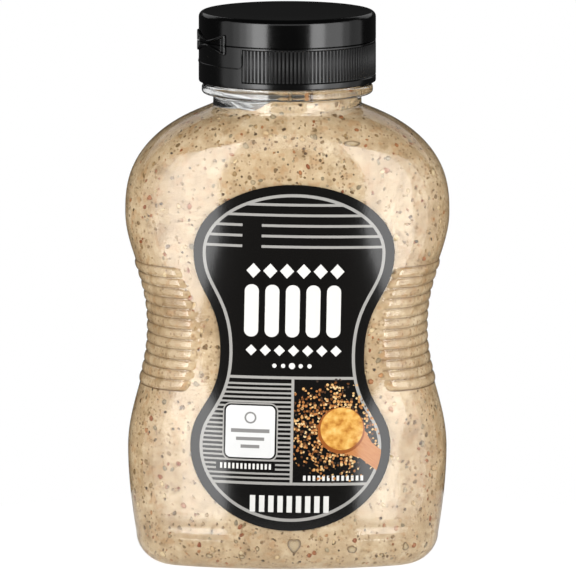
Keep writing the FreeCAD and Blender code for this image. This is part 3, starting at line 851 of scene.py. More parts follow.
def label_edge():
    """Half widths and heights of the label's edge, from its foot to its tip."""
    upper_level = LABEL_TOP - (LABEL_TOP - WAIST) * 0.44
    lower_level = LOWER_LEVEL + 2.5
    half, narrow, low_half = LABEL_LOBE, LABEL_NARROW, LABEL_LOW_HALF
    foot, tip = lower_level - LABEL_BOTTOM, LABEL_TOP - upper_level
    up, down = LABEL_WAIST - lower_level, upper_level - LABEL_WAIST
    chain = [
        bezier([(0, LABEL_BOTTOM), (low_half * ELLIPSE_PULL, LABEL_BOTTOM),
                (low_half, lower_level - foot * ELLIPSE_PULL), (low_half, lower_level)], 26),
        bezier([(low_half, lower_level), (low_half, lower_level + up * LOBE_PULL),
                (narrow, LABEL_WAIST - up * WAIST_PULL), (narrow, LABEL_WAIST)], 22),
        bezier([(narrow, LABEL_WAIST), (narrow, LABEL_WAIST + down * WAIST_PULL),
                (half, upper_level - down * LOBE_PULL), (half, upper_level)], 22),
        bezier([(half, upper_level), (half, upper_level + tip * ELLIPSE_PULL),
                (half * ELLIPSE_PULL, LABEL_TOP), (0, LABEL_TOP)], 26)]
    return np.concatenate(chain + [[(0, LABEL_TOP)]])


EDGE = label_edge()
print("label %.1f wide, %.1f high" % (2 * EDGE[:, 0].max(), LABEL_TOP - LABEL_BOTTOM))


def edge_distance(across, height):
    """How far a point of the label is from its edge: positive inside."""
    outline = np.concatenate([EDGE, EDGE[-2::-1] * (-1, 1)])
    start, run = outline[:-1], np.diff(outline, axis=0)
    span = np.maximum((run ** 2).sum(axis=1), 1e-12)
    place = np.array([across, height])
    share = np.clip(((place - start) * run).sum(axis=1) / span, 0, 1)
    near = np.hypot(*(start + run * share[:, None] - place).T).min()
    inside = (EDGE[0, 1] < height < EDGE[-1, 1]
              and abs(across) < np.interp(height, EDGE[:, 1], EDGE[:, 0]))
    return near if inside else -near


def label_to_bottle(across, height, front):
    """Where a point of the label comes to lie: x and z of the bottle, in millimetres."""
    if not front:
        return -across, height
    rise = height - WAIST
    return (LABEL_SHIFT + across * math.cos(LABEL_TILT) + rise * math.sin(LABEL_TILT),
            WAIST + rise * math.cos(LABEL_TILT) - across * math.sin(LABEL_TILT))


def behind_label(x, y, z):
    """True for a point of the bottle that a label hides for good."""
    shift, tilt = (LABEL_SHIFT, LABEL_TILT) if y < 0 else (0.0, 0.0)
    across, rise = x - shift, z - WAIST
    height = WAIST + rise * math.cos(tilt) + across * math.sin(tilt)
    across = across * math.cos(tilt) - rise * math.sin(tilt)
    if not LABEL_BOTTOM + HIDING < height < LABEL_TOP - HIDING:
        return False
    return abs(across) < np.interp(height, EDGE[:, 1], EDGE[:, 0]) - HIDING


# %% [markdown]
# ## Grains in the mustard
#
# One tree sows every kind of grain. It scatters points over the skin, lays a small stone on each,
# flattened along the skin's normal and turned at random, and picks each stone from four shapes.
# The skin carries a number that is 0 behind the labels, where nobody could see a grain. Size,
# flatness, density and the seed are the tree's inputs, so each kind is one short line.

# %% The tree that sows grains
sow_tree, graph, given = new_tree("sow_grains", {
    "Per Square Metre": "Float", "Seed": "Int", "Smallest": "Float", "Largest": "Float",
    "Flatness": "Float", "Depth": "Float", "Faces": "Int", "Skin": "Material"})
room_left = graph.node("GeometryNodeInputNamedAttribute", {"data_type": "FLOAT"},
                       {"Name": "grain_room"})
sown = graph.node("GeometryNodeDistributePointsOnFaces", {"distribute_method": "RANDOM"}, {
    "Mesh": given.out("Geometry"), "Density": given.out("Per Square Metre") * room_left,
    "Seed": given.out("Seed")})
STONE_SHAPES = 4
stones = []
for number in range(STONE_SHAPES):
    ball = graph.node("GeometryNodeMeshIcoSphere", None,
                      {"Radius": 0.5, "Subdivisions": given.out("Faces")})
    spot = graph.node("GeometryNodeInputPosition")
    dents = graph.node("ShaderNodeTexNoise", {"noise_dimensions": "4D"},
                       {"Vector": spot, "W": number * 3.7, "Scale": 1.7, "Detail": 1.0})
    pull = graph.node("ShaderNodeVectorMath", {"operation": "SCALE"},
                      {0: spot, "Scale": (dents - 0.5) * 1.5})
    dented = graph.node("GeometryNodeSetPosition", None, {"Geometry": ball, "Offset": pull})
    _, _, up = graph.xyz(graph.node("GeometryNodeInputPosition"))
    crowned = graph.node("GeometryNodeStoreNamedAttribute", {"data_type": "FLOAT"},
                         {"Geometry": dented, "Name": "crown", "Value": up * 2})
    smoothed = graph.node("GeometryNodeSetShadeSmooth", None, {"Geometry": crowned})
    stones.append(graph.node("GeometryNodeGeometryToInstance", None, {"Geometry": smoothed}))
shelf = graph.node("GeometryNodeJoinGeometry")
for stone in stones:
    graph.tree.links.new(stone.socket, shelf.socket.node.inputs[0])


def random_number(low, high, seed_shift, kind="FLOAT"):
    """A random number for each grain; the shift keeps one use of the seed apart from another."""
    made = graph.node("FunctionNodeRandomValue", {"data_type": kind})
    ends = {"FLOAT": (2, 3, 1), "INT": (4, 5, 2)}[kind]
    for place, value in zip(ends, (low, high)):
        if isinstance(value, Socket):
            graph.tree.links.new(value.socket, made.socket.node.inputs[place])
        else:
            made.socket.node.inputs[place].default_value = value
    seed = given.out("Seed") + seed_shift
    graph.tree.links.new(seed.socket, made.socket.node.inputs["Seed"])
    return Socket(graph, made.socket.node.outputs[ends[2]])


TIP = 0.35               # how far a stone may lean, in radians
laid = graph.node("GeometryNodeInstanceOnPoints", None, {
    "Points": sown, "Instance": shelf, "Pick Instance": True,
    "Instance Index": random_number(0, STONE_SHAPES - 1, 1, "INT"), "Rotation": sown.out("Rotation")})
spun = graph.node("GeometryNodeRotateInstances", None, {
    "Instances": laid,
    "Rotation": graph.vector(random_number(-TIP, TIP, 6), random_number(-TIP, TIP, 7),
                             random_number(0.0, 6.28, 2))})
length = given.out("Smallest") + (given.out("Largest") - given.out("Smallest")) * (
    random_number(0.0, 1.0, 3) ** 1.8)
size = length * MM
sized = graph.node("GeometryNodeScaleInstances", None, {
    "Instances": spun, "Scale": graph.vector(size, size * random_number(0.55, 1.0, 4),
                                             size * given.out("Flatness"))})
tinted = graph.node("GeometryNodeStoreNamedAttribute", {"data_type": "FLOAT", "domain": "INSTANCE"},
                    {"Geometry": sized, "Name": "tint", "Value": random_number(0.0, 1.0, 5)})
sunk_in = graph.node("GeometryNodeTranslateInstances", None, {
    "Instances": tinted, "Translation": graph.vector(0.0, 0.0, given.out("Depth") * MM * -1.0),
    "Local Space": True})
finish_tree(graph, sunk_in, given.out("Skin"))
print("a sowing tree of %d nodes" % len(sow_tree.nodes))

# %% The seed bed
ROOM_COLUMNS = 3         # the bed is coarser than the skin, to keep the sowing quick


def seed_bed():
    """A plain copy of the mustard's skin that knows where grains would be seen."""
    levels = [level for level in wall_levels[::2] if 0.5 < level < NECK_FOOT - 0.7]
    rows = [inner(level, SINK)[::ROOM_COLUMNS] for level in levels]
    crown = len(CROWN_SHARES)
    rows += [row[::ROOM_COLUMNS] for row in fill_rows[-COLLAR_ROWS - crown:-crown]]
    bed = mesh_of("seed_bed", skin(rows))
    store(bed, "grain_room", [0.0 if behind_label(*point) else 1.0
                              for point in np.concatenate(rows)])
    return bed


# %% Kinds of grain
def grain_material(name, stops, edge):
    """Paint for one kind of grain: a tint for each, running to one colour at the edges."""
    made, graph = new_material(name)
    tint = graph.node("ShaderNodeAttribute", {"attribute_name": "tint"}).out("Fac")
    crown = graph.node("ShaderNodeAttribute", {"attribute_name": "crown"}).out("Fac")
    body = graph.node("ShaderNodeValToRGB", {"stops": stops}, {0: tint})
    rim = ((0.55 - crown) * 2.2).clamped()
    shaded = graph.mix(rim * 0.75, body, edge)
    finish_material(graph, graph.node("ShaderNodeBsdfPrincipled", None, {
        "Base Color": shaded, "Roughness": 0.5, "Specular IOR Level": 0.3}))
    return made


GRAINS = [
    # name, per square metre, seed, smallest, largest, flatness, depth, faces, tints, edge
    ("dark_specks", 95000, 11, 0.3, 0.95, 0.5, 0.02, 2,
     [(0.0, paint(52, 38, 24)), (0.5, paint(84, 62, 38)), (1.0, paint(116, 90, 58))],
     paint(60, 44, 28)),
    ("rust_flakes", 28000, 23, 0.55, 1.5, 0.3, 0.03, 2,
     [(0.0, paint(108, 56, 24)), (0.5, paint(128, 78, 42)), (1.0, paint(144, 104, 66))],
     paint(124, 88, 54)),
    ("bran_flakes", 95000, 37, 0.5, 1.4, 0.25, 0.06, 2,
     [(0.0, paint(84, 64, 38)), (0.5, paint(120, 96, 62)), (1.0, paint(150, 124, 88))],
     paint(132, 106, 70)),
    ("grey_hulls", 20000, 41, 0.8, 1.6, 0.3, 0.08, 2,
     [(0.0, paint(106, 95, 74)), (0.5, paint(124, 110, 86)), (1.0, paint(142, 128, 102))],
     paint(116, 100, 74)),
    ("pale_seeds", 10000, 53, 1.0, 1.9, 0.5, 0.22, 2,
     [(0.0, paint(160, 136, 102)), (0.5, paint(170, 150, 116)), (1.0, paint(178, 160, 128))],
     paint(148, 125, 92))]
bed = seed_bed()
for name, per_metre, seed, smallest, largest, flatness, depth, faces, tints, edge in GRAINS:
    mesh = grown(name, bed, sow_tree, {
        "Per Square Metre": float(per_metre), "Seed": seed, "Smallest": smallest,
        "Largest": largest, "Flatness": flatness, "Depth": depth, "Faces": faces,
        "Skin": grain_material(name, tints, edge)})
    piece(name, mesh, "bottle")
bpy.data.meshes.remove(bed)

# %% [markdown]
# ## Trapped air
#
# A few bubbles are caught under the wall near the foot and on the shoulder. They could be cut out
# of the mustard, but nobody sees behind them. So each is a shallow dish with an uneven outline,
# laid on the mustard's skin. Its paint darkens towards the rim, as painted shade at the bubble's
# edge.

# %% Air pockets
def on_skin(x, level, inset):
    """A point on the front of the mustard, and the directions across, up and out of its skin."""
    def at(place, height):
        row = inner(height, inset)
        front = row[row[:, 1] < 0]
        front = front[np.argsort(front[:, 0])]
        return Vector((place, float(np.interp(place, front[:, 0], front[:, 1])), float(row[0][2])))
    middle = at(x, level)
    across = (at(x + 0.5, level) - at(x - 0.5, level)).normalized()
    rise = (at(x, level + 0.3) - at(x, level - 0.3)).normalized()
    return middle, across, rise, across.cross(rise).normalized()


# The rings of a dish: the share of its radius, and the height over the skin.
DISH = ((0.25, 0.0), (0.5, 0.01), (0.72, 0.04), (0.86, 0.1), (0.96, 0.12), (1.0, 0.02), (1.03, -0.25))
DISH_STEPS = 28


def pocket(x, level, width, height, corners, seed):
    """A dish of air with an uneven rim, and how far out each of its points lies."""
    middle, across, rise, out = on_skin(x, level, SINK - 0.12)
    rows = []
    for share, lift in DISH:
        row = []
        for step in range(DISH_STEPS):
            turn = 2 * math.pi * step / DISH_STEPS
            uneven = 1 + 0.13 * math.cos(corners * turn + seed)
            uneven += 0.05 * math.sin(5 * turn + 2 * seed)
            row.append(middle + across * (share * uneven * width / 2 * math.cos(turn))
                       + rise * (share * uneven * height / 2 * math.sin(turn)) + out * lift)
        rows.append(row)
    shape = skin(rows, first_pole=middle, last_pole=middle - out * 0.3)
    return shape, [share for share, _ in DISH for _ in range(DISH_STEPS)] + [0, 1.1]


# Each pocket: across, height, width, tallness, corners of its outline, seed.
pockets = [pocket(1.6, 6.2, 3.1, 3.2, 3, -1.5), pocket(15.1, 5.0, 2.1, 2.0, 2, 0.4),
           pocket(27.6, 5.0, 1.5, 2.0, 3, 0.9), pocket(-18.2, 3.3, 1.7, 1.2, 2, 1.9),
           pocket(-7.0, 5.3, 1.0, 1.1, 2, 2.6), pocket(-10.6, 3.3, 1.2, 1.2, 2, 0.1),
           pocket(15.0, 101.0, 3.6, 1.5, 2, 0.6), pocket(-12.0, 6.9, 0.8, 0.8, 2, 0.7),
           pocket(22.0, 3.4, 1.0, 0.8, 2, 1.1), pocket(-27.5, 7.5, 0.9, 0.9, 3, 0.2)]
air_paint, graph = new_material("trapped_air")
rim = graph.node("ShaderNodeAttribute", {"attribute_name": "rim"}).out("Fac")
# Painted shade: darker towards the dish's rim, back to the mustard's tone on the lip under the skin.
rim_shade = graph.node("ShaderNodeValToRGB", {"stops": [
    (0.0, paint(146, 130, 100)), (0.6, paint(136, 118, 86)), (0.8, paint(104, 86, 60)),
    (0.93, paint(76, 60, 40)), (1.0, paint(140, 116, 82))]}, {0: rim})
finish_material(graph, graph.node("ShaderNodeBsdfPrincipled", None, {
    "Base Color": rim_shade, "Roughness": 0.25}))
air_mesh = mesh_of("air_pockets", *[shape for shape, _ in pockets])
store(air_mesh, "rim", np.concatenate([shares for _, shares in pockets]))
smooth(air_mesh)
piece("air_pockets", air_mesh, "bottle", air_paint)

# %% [markdown]
# ## Labels
#
# A label is a thin film bent to the round of the broad face, so it gets rows of points that run
# across its front and back again across its underside. Three numbers ride on its points: how far
# across, how high, and how far from the edge. A print is usually a picture laid on the film.
# Here it is plain geometry in millimetres, which stays sharp from close by: boxes, discs, stripes
# and a line that follows the edge. Nothing on it is lettering.

# %% Label meshes
LABEL_GAP, LABEL_THICKNESS = 0.05, 0.12
LABEL_COLUMNS = 56


def label_mesh(name, front):
    """The film of one label, with its own coordinates stored on its points."""
    rows, numbers = [], []
    for half, height in EDGE[1:-1]:
        row = []
        shares = np.sin(np.linspace(-math.pi / 2, math.pi / 2, LABEL_COLUMNS))
        for lift, places in ((LABEL_GAP + LABEL_THICKNESS, shares), (LABEL_GAP, shares[::-1])):
            for share in places:
                across = share * half
                x, z = label_to_bottle(across, height, front)
                round_face = broad_radius(z)
                y = math.sqrt((round_face + lift) ** 2 - x ** 2) - round_face + HALF_DEPTH
                row.append((x, -y if front else y, z))
                numbers.append((across, height, max(edge_distance(across, height), 0.0)))
        rows.append(row)
    poles = []
    for height in (LABEL_BOTTOM, LABEL_TOP):
        x, z = label_to_bottle(0, height, front)
        y = HALF_DEPTH + LABEL_GAP + LABEL_THICKNESS / 2
        poles.append((x, -y if front else y, z))
        numbers.append((0.0, height, 0.0))
    mesh = mesh_of(name, skin(rows, *poles))
    for number, title in enumerate(("across", "height", "inset")):
        store(mesh, title, [entry[number] for entry in numbers])
    smooth(mesh, 60)
    return mesh


# %% Shapes of the print
def slab(across, height, middle, level, width, tall):
    """1 inside an upright rectangle."""
    return (abs(across - middle) < width / 2) * (abs(height - level) < tall / 2)


def rounded(across, height, middle, level, width, tall, radius):
    """1 inside a rectangle with round corners."""
    x = (abs(across - middle) - (width / 2 - radius)).most(0.0)
    y = (abs(height - level) - (tall / 2 - radius)).most(0.0)
    return (x * x + y * y) < radius ** 2


def disc(across, height, middle, level, radius):
    """1 inside a disc."""
    return (across - middle) ** 2.0 + (height - level) ** 2.0 < radius ** 2


def cells(place, start, pitch, count):
    """Where a point lies in its own cell of an even row, measured from the cell's middle."""
    number = ((place - start) / pitch + 0.5).math("FLOOR").most(0.0).least(count - 1.0)
    return place - start - number * pitch


def lozenge(across, height, width, tall):
    """1 inside an upright lozenge about 0."""
    return (abs(across) / (width / 2) + abs(height) / (tall / 2)) < 1.0


# %% Paints and places of the print, in millimetres
SILVER, CHALK, INK = paint(152, 150, 146), paint(212, 211, 207), paint(17, 16, 15)
TILE_PAPER, TILE_GREY = paint(210, 210, 209), paint(128, 127, 125)
BORDER_INSET, BORDER_WIDTH = 2.15, 0.72
DIVIDER_TOP, DIVIDER_FOOT, DIVIDER_SIDE, LINE_HALF = 46.1, 21.1, 0.3, 0.33
TILE_LEVEL, TILE_RING = 33.2, 36.5
BAND_LEVEL = 25.0
DOTS_LEVEL = 48.9
HANDLE_START, HANDLE_TILT = (11.8, 33.6), math.radians(-38)
BOWL, HEAP = (11.8, 33.8, 5.5), (11.95, 34.15, 5.0)      # middle across, height, radius
SEEDS_MIDDLE, SEEDS_REACH = (10.0, 34.0), 13.0
print("a border %.2f mm wide, %.2f mm in from the edge" % (BORDER_WIDTH, BORDER_INSET))


# %% What is printed in silver, in chalk and on the tile
def silver_print(across, height, panel, front, outline, gap, band):
    """Five rules in the round top, divider lines, fine stripes and the tile's outline."""
    rules = abs(cells(height, 76.9, 2.47, 5)) < 0.31
    broken = slab(across, height, -9.9, 79.0, 4.5, 8.0)      # the lower three are broken
    rules = rules * (height > 76.0) * (height < 87.8) * (1 - broken)
    lines = (abs(height - DIVIDER_TOP) < LINE_HALF).most(abs(height - DIVIDER_FOOT) < LINE_HALF)
    lines = lines.most(panel * (abs(across - DIVIDER_SIDE) < LINE_HALF))
    tile_half = across < DIVIDER_SIDE if front else across > DIVIDER_SIDE
    fine = (abs(cells(height, 22.3, 1.06, 22)) < 0.23) * panel * tile_half
    fine = (fine * (1 - outline) * (1 - band)).most(outline * (1 - gap))
    return rules.most(lines).most(fine)


def chalk_print(across, height, band_side, front):
    """Lozenges, five tall bars, small lozenges, five dots, and rows of ticks."""
    small = lozenge(cells(across, -9.4, 3.92, 6), height - 71.2, 3.3, 3.5)
    tall = rounded(cells(across, -9.7, 4.8, 5), height, 0.0, 61.8, 3.3, 12.3, 1.6)
    lower = lozenge(cells(across, -9.6, 3.3, 7), height - 52.5, 2.6, 2.6)
    dots = disc(cells(across, -4.1, 2.05, 5), height, 0.0, DOTS_LEVEL, 0.5)
    dots = dots.most(disc(across, height, 0.0, DOTS_LEVEL, 0.72))
    foot = slab(cells(across, -8.6, 2.15, 9), height, 0.0, 16.3, 1.25, 3.9)
    ticks = slab(cells(across, band_side - 5.7, 0.95, 13), height, 0.0, BAND_LEVEL, 0.5, 1.3)
    chalk = small.most(tall).most(lower).most(dots).most(foot).most(ticks)
    if front:
        caption = slab(cells(across, 3.4, 1.12, 13), height, 0.0, 22.5, 0.62, 1.2)
        chalk = chalk.most(caption)
    return chalk


def tile_print(graph, across, height, side):
    """Colours of the tile: pale, with a ring and three grey strokes."""
    strokes = slab(across, height, side, 33.4, 9.0, 0.9)
    for level, width in ((31.5, 6.6), (29.7, 4.4)):
        strokes = strokes.most(slab(across, height, side, level, width, 0.8))
    ring = disc(across, height, side, TILE_RING, 1.4)
    ring = ring * (1 - disc(across, height, side, TILE_RING, 1.0))
    return graph.mix(strokes.most(ring), TILE_PAPER, TILE_GREY)


# %% The picture on the right
def seeds_and_scoop(graph, film, across, height, within, panel):
    """Scattered seeds, and a scoop with a round heap on it, as plain shapes over the film."""
    flat = graph.vector(across, height, 0.0)
    right = within * panel * (across > 0.7)
    for scale, share, drift in ((1.05, 0.36, 0.0), (1.5, 0.4, 7.3)):
        moved = graph.vector(across + drift, height + drift, 0.0)
        dots = graph.node("ShaderNodeTexVoronoi", {"voronoi_dimensions": "2D"},
                          {"Vector": moved, "Scale": scale})
        first, second, _ = graph.xyz(dots.out("Color"))
        aside, above = across - SEEDS_MIDDLE[0], height - SEEDS_MIDDLE[1]
        from_middle = (aside ** 2.0 + above ** 2.0) ** 0.5
        thin = (from_middle / SEEDS_REACH) ** 1.6
        seen = (dots < share) * (first > thin) * right
        tone = graph.node("ShaderNodeValToRGB", {"stops": [
            (0.0, paint(50, 46, 42)), (0.25, paint(98, 60, 32)), (0.5, paint(168, 110, 62)),
            (0.75, paint(198, 154, 98)), (1.0, paint(210, 184, 138))]}, {0: second})
        film = graph.mix(seen, film, tone)
    # The handle runs down to the right from the heap.
    aside, above = across - HANDLE_START[0], height - HANDLE_START[1]
    cosine, sine = math.cos(HANDLE_TILT), math.sin(HANDLE_TILT)
    along = aside * cosine + above * sine
    beside = above * cosine - aside * sine
    handle = (along > 0.0) * (along < 30.0) * (abs(beside) < 2.2 + (7.5 - along).most(0.0) * 0.4)
    wood = graph.node("ShaderNodeTexNoise", None, {
        "Vector": graph.vector(along * 0.25, beside * 2.5, 0.0), "Scale": 1.6, "Detail": 2.0})
    grain = graph.mix(wood, paint(160, 94, 48), paint(190, 134, 80))
    film = graph.mix(handle * right, film, grain)
    bowl = disc(across, height, *BOWL)
    film = graph.mix(bowl * right, film, paint(140, 80, 38))
    heap = disc(across, height, *HEAP)
    heap_noise = graph.node("ShaderNodeTexNoise", None, {"Vector": flat, "Scale": 0.55, "Detail": 5.0})
    mound = graph.node("ShaderNodeValToRGB", {"stops": [
        (0.3, paint(158, 98, 40)), (0.45, paint(196, 142, 66)), (0.6, paint(212, 168, 92)),
        (0.75, paint(218, 188, 122))]}, {0: heap_noise})
    return graph.mix(heap * right, film, mound)


# %% The labels
def label_material(name, front):
    """Black film with its print; the back has the tile on its other half, and no scoop."""
    made, graph = new_material(name)
    across, height, inset = [
        graph.node("ShaderNodeAttribute", {"attribute_name": title}).out("Fac")
        for title in ("across", "height", "inset")]
    within = inset > BORDER_INSET
    border = within * (inset < BORDER_INSET + BORDER_WIDTH)
    panel = (height < DIVIDER_TOP) * (height > DIVIDER_FOOT)
    tile_side, band_side = (-9.45, -10.4) if front else (10.2, 11.0)
    outline, gap, tile = [
        rounded(across, height, tile_side, TILE_LEVEL, width, tall, radius)
        for width, tall, radius in ((12.9, 13.6, 1.9), (12.3, 13.0, 1.6), (11.5, 12.3, 1.3))]
    band = slab(across, height, band_side, BAND_LEVEL, 13.8, 1.9)
    silver = silver_print(across, height, panel, front, outline, gap, band)
    film = graph.mix((silver * within).most(border), INK, SILVER)
    film = graph.mix(chalk_print(across, height, band_side, front), film, CHALK)
    film = graph.mix(gap * (1 - tile), film, INK)
    film = graph.mix(tile, film, tile_print(graph, across, height, tile_side))
    if front:
        film = seeds_and_scoop(graph, film, across, height, within, panel)
    where = graph.node("ShaderNodeTexCoord").out("Object")
    wave = graph.node("ShaderNodeTexNoise", None, {"Vector": where, "Scale": 160.0, "Detail": 2.0})
    grain = graph.node("ShaderNodeTexNoise", None, {"Vector": where, "Scale": 2600.0, "Detail": 2.0})
    uneven = bump(graph, wave * 0.8 + grain * 0.2, 0.06, 0.5)
    finish_material(graph, graph.node("ShaderNodeBsdfPrincipled", None, {
        "Base Color": film, "Roughness": 0.13, "IOR": 1.42, "Normal": uneven}))
    return made


for name, front in (("front_label", True), ("back_label", False)):
    label = piece(name + "_film", label_mesh(name + "_film", front), "bottle",
                  label_material(name + "_print", front))
    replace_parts(label, name)

# %% [markdown]
# ## The cap
#
# The cap is moulded in black plastic. Both halves are turned shapes: one outline, swept round
# the axis, so an outline in plain numbers says all there is to say. The lower half has a
# ribbed band and a smooth foot; its deck carries a ring, which the lid closes round, and the
# spout. The lid is a shallow cup with a plug in the middle. A turned outline must be closed and
# its corners must be broken a little, or it would have no bright edges.

# %% Sizes of the cap, in millimetres
CAP_RADIUS, CAP_INSIDE = 20.75, 18.8
DECK = RIM + 1.4
RING_OUT, RING_IN, RING_TOP = 19.2, 18.4, DECK + 1.0
SPOUT_FOOT, SPOUT_TIP, SPOUT_BORE, SPOUT_TOP = 5.2, 3.2, 1.8, DECK + 3.6
LID_INSIDE, LID_UNDER = 19.45, LID_TOP - 1.3
PLUG, PLUG_END = 1.55, SPOUT_TOP - 1.5
HINGE_TURN = math.radians(-64)       # from the front, to the left
HINGE_OUT = np.array([math.sin(HINGE_TURN), -math.cos(HINGE_TURN)])
THUMB_CHORD, THUMB_HEIGHT = 19.75, 2.4
TURNED_STEPS = 256
print("cap %.1f mm across, deck at %.1f, spout up to %.1f" % (2 * CAP_RADIUS, DECK, SPOUT_TOP))


def corner(radius, height, size, start, stop, steps):
    """A round at a corner: its centre, its size, and the angles it runs through, in degrees."""
    return [(radius + size * math.cos(angle), height + size * math.sin(angle))
            for angle in (math.radians(degrees) for degrees in np.linspace(start, stop, steps))]


def cylinder_point(turn_degrees, height, radius=CAP_RADIUS):
    """A point on the cap, at an angle in degrees from the hinge, positive to its right."""
    turn = HINGE_TURN + math.radians(turn_degrees)
    return Vector((radius * math.sin(turn), -radius * math.cos(turn), height))


def tube(path, radius, sides=8):
    """A round bar along a path of points, with closed ends."""
    rows = []
    path = [Vector(point) for point in path]
    for number, point in enumerate(path):
        ahead = path[min(number + 1, len(path) - 1)] - path[max(number - 1, 0)]
        out = Vector((point.x, point.y, 0)).normalized()
        side = ahead.cross(out).normalized()
        turns = [2 * math.pi * step / sides for step in range(sides)]
        rows.append([point + side * (radius * math.cos(turn)) + out * (radius * math.sin(turn))
                     for turn in turns])
    return skin(rows, first_pole=path[0], last_pole=path[-1])


# %% Black plastics
def black_plastic(name, roughness, streak, shade):
    """Black plastic of a shade, 0 to 255, with a trace of unevenness in its gloss."""
    made, graph = new_material(name)
    where = graph.node("ShaderNodeTexCoord").out("Object")
    worn = graph.node("ShaderNodeTexNoise", None, {"Vector": where, "Scale": 700.0, "Detail": 3.0})
    finish_material(graph, graph.node("ShaderNodeBsdfPrincipled", None, {
        "Base Color": paint(shade, shade, shade), "IOR": 1.5,
        "Roughness": worn * streak + (roughness - streak / 2),
        "Normal": bump(graph, worn, 0.02, 0.3)}))
    return made


lid_plastic = black_plastic("lid_plastic", 0.16, 0.06, 4)
base_plastic = black_plastic("cap_plastic", 0.2, 0.08, 8)
# The ribs' plastic is written lighter than the rest, as painted sheen for the fine ribs' highlights.
rib_plastic_sheen = black_plastic("rib_plastic_sheen", 0.6, 0.08, 24)
print("plastics:", ", ".join(made.name for made in (lid_plastic, base_plastic, rib_plastic_sheen)))

# %% Lid
lid_outline = [(0.3, LID_TOP - 0.06), (10.0, LID_TOP - 0.06), (CAP_RADIUS - 2.4, LID_TOP - 0.05)]
lid_outline += [(CAP_RADIUS - 1.7, LID_TOP)]
lid_outline += corner(CAP_RADIUS - 1.3, LID_TOP - 1.3, 1.3, 85, 0, 9)
lid_outline += [(CAP_RADIUS, SEAM + 0.12), (CAP_RADIUS - 0.12, SEAM), (LID_INSIDE, SEAM),
                (LID_INSIDE, LID_UNDER - 0.3), (LID_INSIDE - 0.3, LID_UNDER),
                (PLUG + 0.3, LID_UNDER), (PLUG, LID_UNDER - 0.3), (PLUG, PLUG_END + 0.3),
                (PLUG - 0.3, PLUG_END), (0.3, PLUG_END)]
lid_rows = turned(lid_outline, TURNED_STEPS)[::-1]
lid_mesh = mesh_of("lid_shell", skin(lid_rows, (0, 0, PLUG_END), (0, 0, LID_TOP - 0.06)))
smooth(lid_mesh, 32)
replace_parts(piece("lid_shell", lid_mesh, "lid", lid_plastic), "cap_lid")

# %% Base of the cap
BAND_GROUND = CAP_RADIUS - 0.24
BAND_FOOT, BAND_TOP = CAP_FOOT + 1.75, DECK - 0.7
base_outline = [(CAP_RADIUS - 0.35, CAP_FOOT), (CAP_RADIUS - 0.08, CAP_FOOT + 0.14),
                (CAP_RADIUS, CAP_FOOT + 0.35), (CAP_RADIUS, BAND_FOOT - 0.3), (BAND_GROUND, BAND_FOOT),
                (BAND_GROUND, DECK - THUMB_HEIGHT - 0.05), (BAND_GROUND, DECK - THUMB_HEIGHT),
                (BAND_GROUND, BAND_TOP), (CAP_RADIUS - 0.02, BAND_TOP + 0.3),
                (CAP_RADIUS - 0.02, DECK - 0.1), (CAP_RADIUS - 0.15, DECK), (RING_OUT, DECK),
                (RING_OUT, RING_TOP - 0.15), (RING_OUT - 0.15, RING_TOP), (RING_IN, RING_TOP),
                (RING_IN, DECK), (SPOUT_FOOT + 0.4, DECK), (SPOUT_FOOT, DECK + 0.3),
                (SPOUT_TIP, SPOUT_TOP - 0.3), (SPOUT_TIP - 0.3, SPOUT_TOP), (SPOUT_BORE, SPOUT_TOP),
                (SPOUT_BORE, RIM), (CAP_INSIDE, RIM), (CAP_INSIDE, CAP_FOOT)]
cap_rows = turned(base_outline, TURNED_STEPS)
THUMB_FIRST, THUMB_LAST = 6, 10      # the rows from the foot of the thumb's flat up to the deck
for number in range(THUMB_FIRST, THUMB_LAST + 1):
    row = cap_rows[number]
    reach = row[:, :2] @ -HINGE_OUT
    over = np.maximum(reach - THUMB_CHORD, 0)
    row[:, :2] += over[:, None] * HINGE_OUT
base_mesh = mesh_of("cap_shell", skin(cap_rows[::-1], ring=True))
smooth(base_mesh, 28)
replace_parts(piece("cap_shell", base_mesh, "bottle", base_plastic), "cap_base")

# %% [markdown]
# The band's fine upright ribs repeat, so a tree makes them: a circle of points, the ones beside
# the hinge's panel and under the thumb dropped, and one round-ended bar laid on each point.

# %% Ribs of the cap
BARS, BAR_RADIUS = 140, 0.3
bar_tree, graph, given = new_tree("stand_bars", {
    "Count": "Int", "Circle": "Float", "Bar Radius": "Float", "Foot": "Float", "Top": "Float",
    "Hinge Turn": "Float", "Panel Half": "Float", "Thumb Half": "Float", "Skin": "Material"})
circle = graph.node("GeometryNodeMeshCircle", {"fill_type": "NONE"},
                    {"Vertices": given.out("Count"), "Radius": given.out("Circle") * MM})
x, y, _ = graph.xyz(graph.node("GeometryNodeInputPosition"))
cosine, sine = given.out("Hinge Turn").math("COSINE"), given.out("Hinge Turn").math("SINE")
toward = (x * sine - y * cosine) / (given.out("Circle") * MM)
near_hinge = toward > given.out("Panel Half").math("COSINE")
near_thumb = (toward * -1.0) > given.out("Thumb Half").math("COSINE")
kept = graph.node("GeometryNodeDeleteGeometry", {"domain": "POINT"},
                  {"Geometry": circle, "Selection": near_hinge.most(near_thumb)})
height = (given.out("Top") - given.out("Foot")) * MM
bar = graph.node("GeometryNodeMeshCylinder", {"fill_type": "TRIANGLE_FAN"}, {
    "Vertices": 10, "Side Segments": 1, "Fill Segments": 1,
    "Radius": given.out("Bar Radius") * MM, "Depth": height})
tip = graph.node("GeometryNodeMeshUVSphere", None,
                 {"Segments": 10, "Rings": 6, "Radius": given.out("Bar Radius") * MM})
low_tip = graph.node("GeometryNodeTransform", None,
                     {"Geometry": tip, "Translation": graph.vector(0.0, 0.0, height * -0.5)})
whole = graph.node("GeometryNodeJoinGeometry")
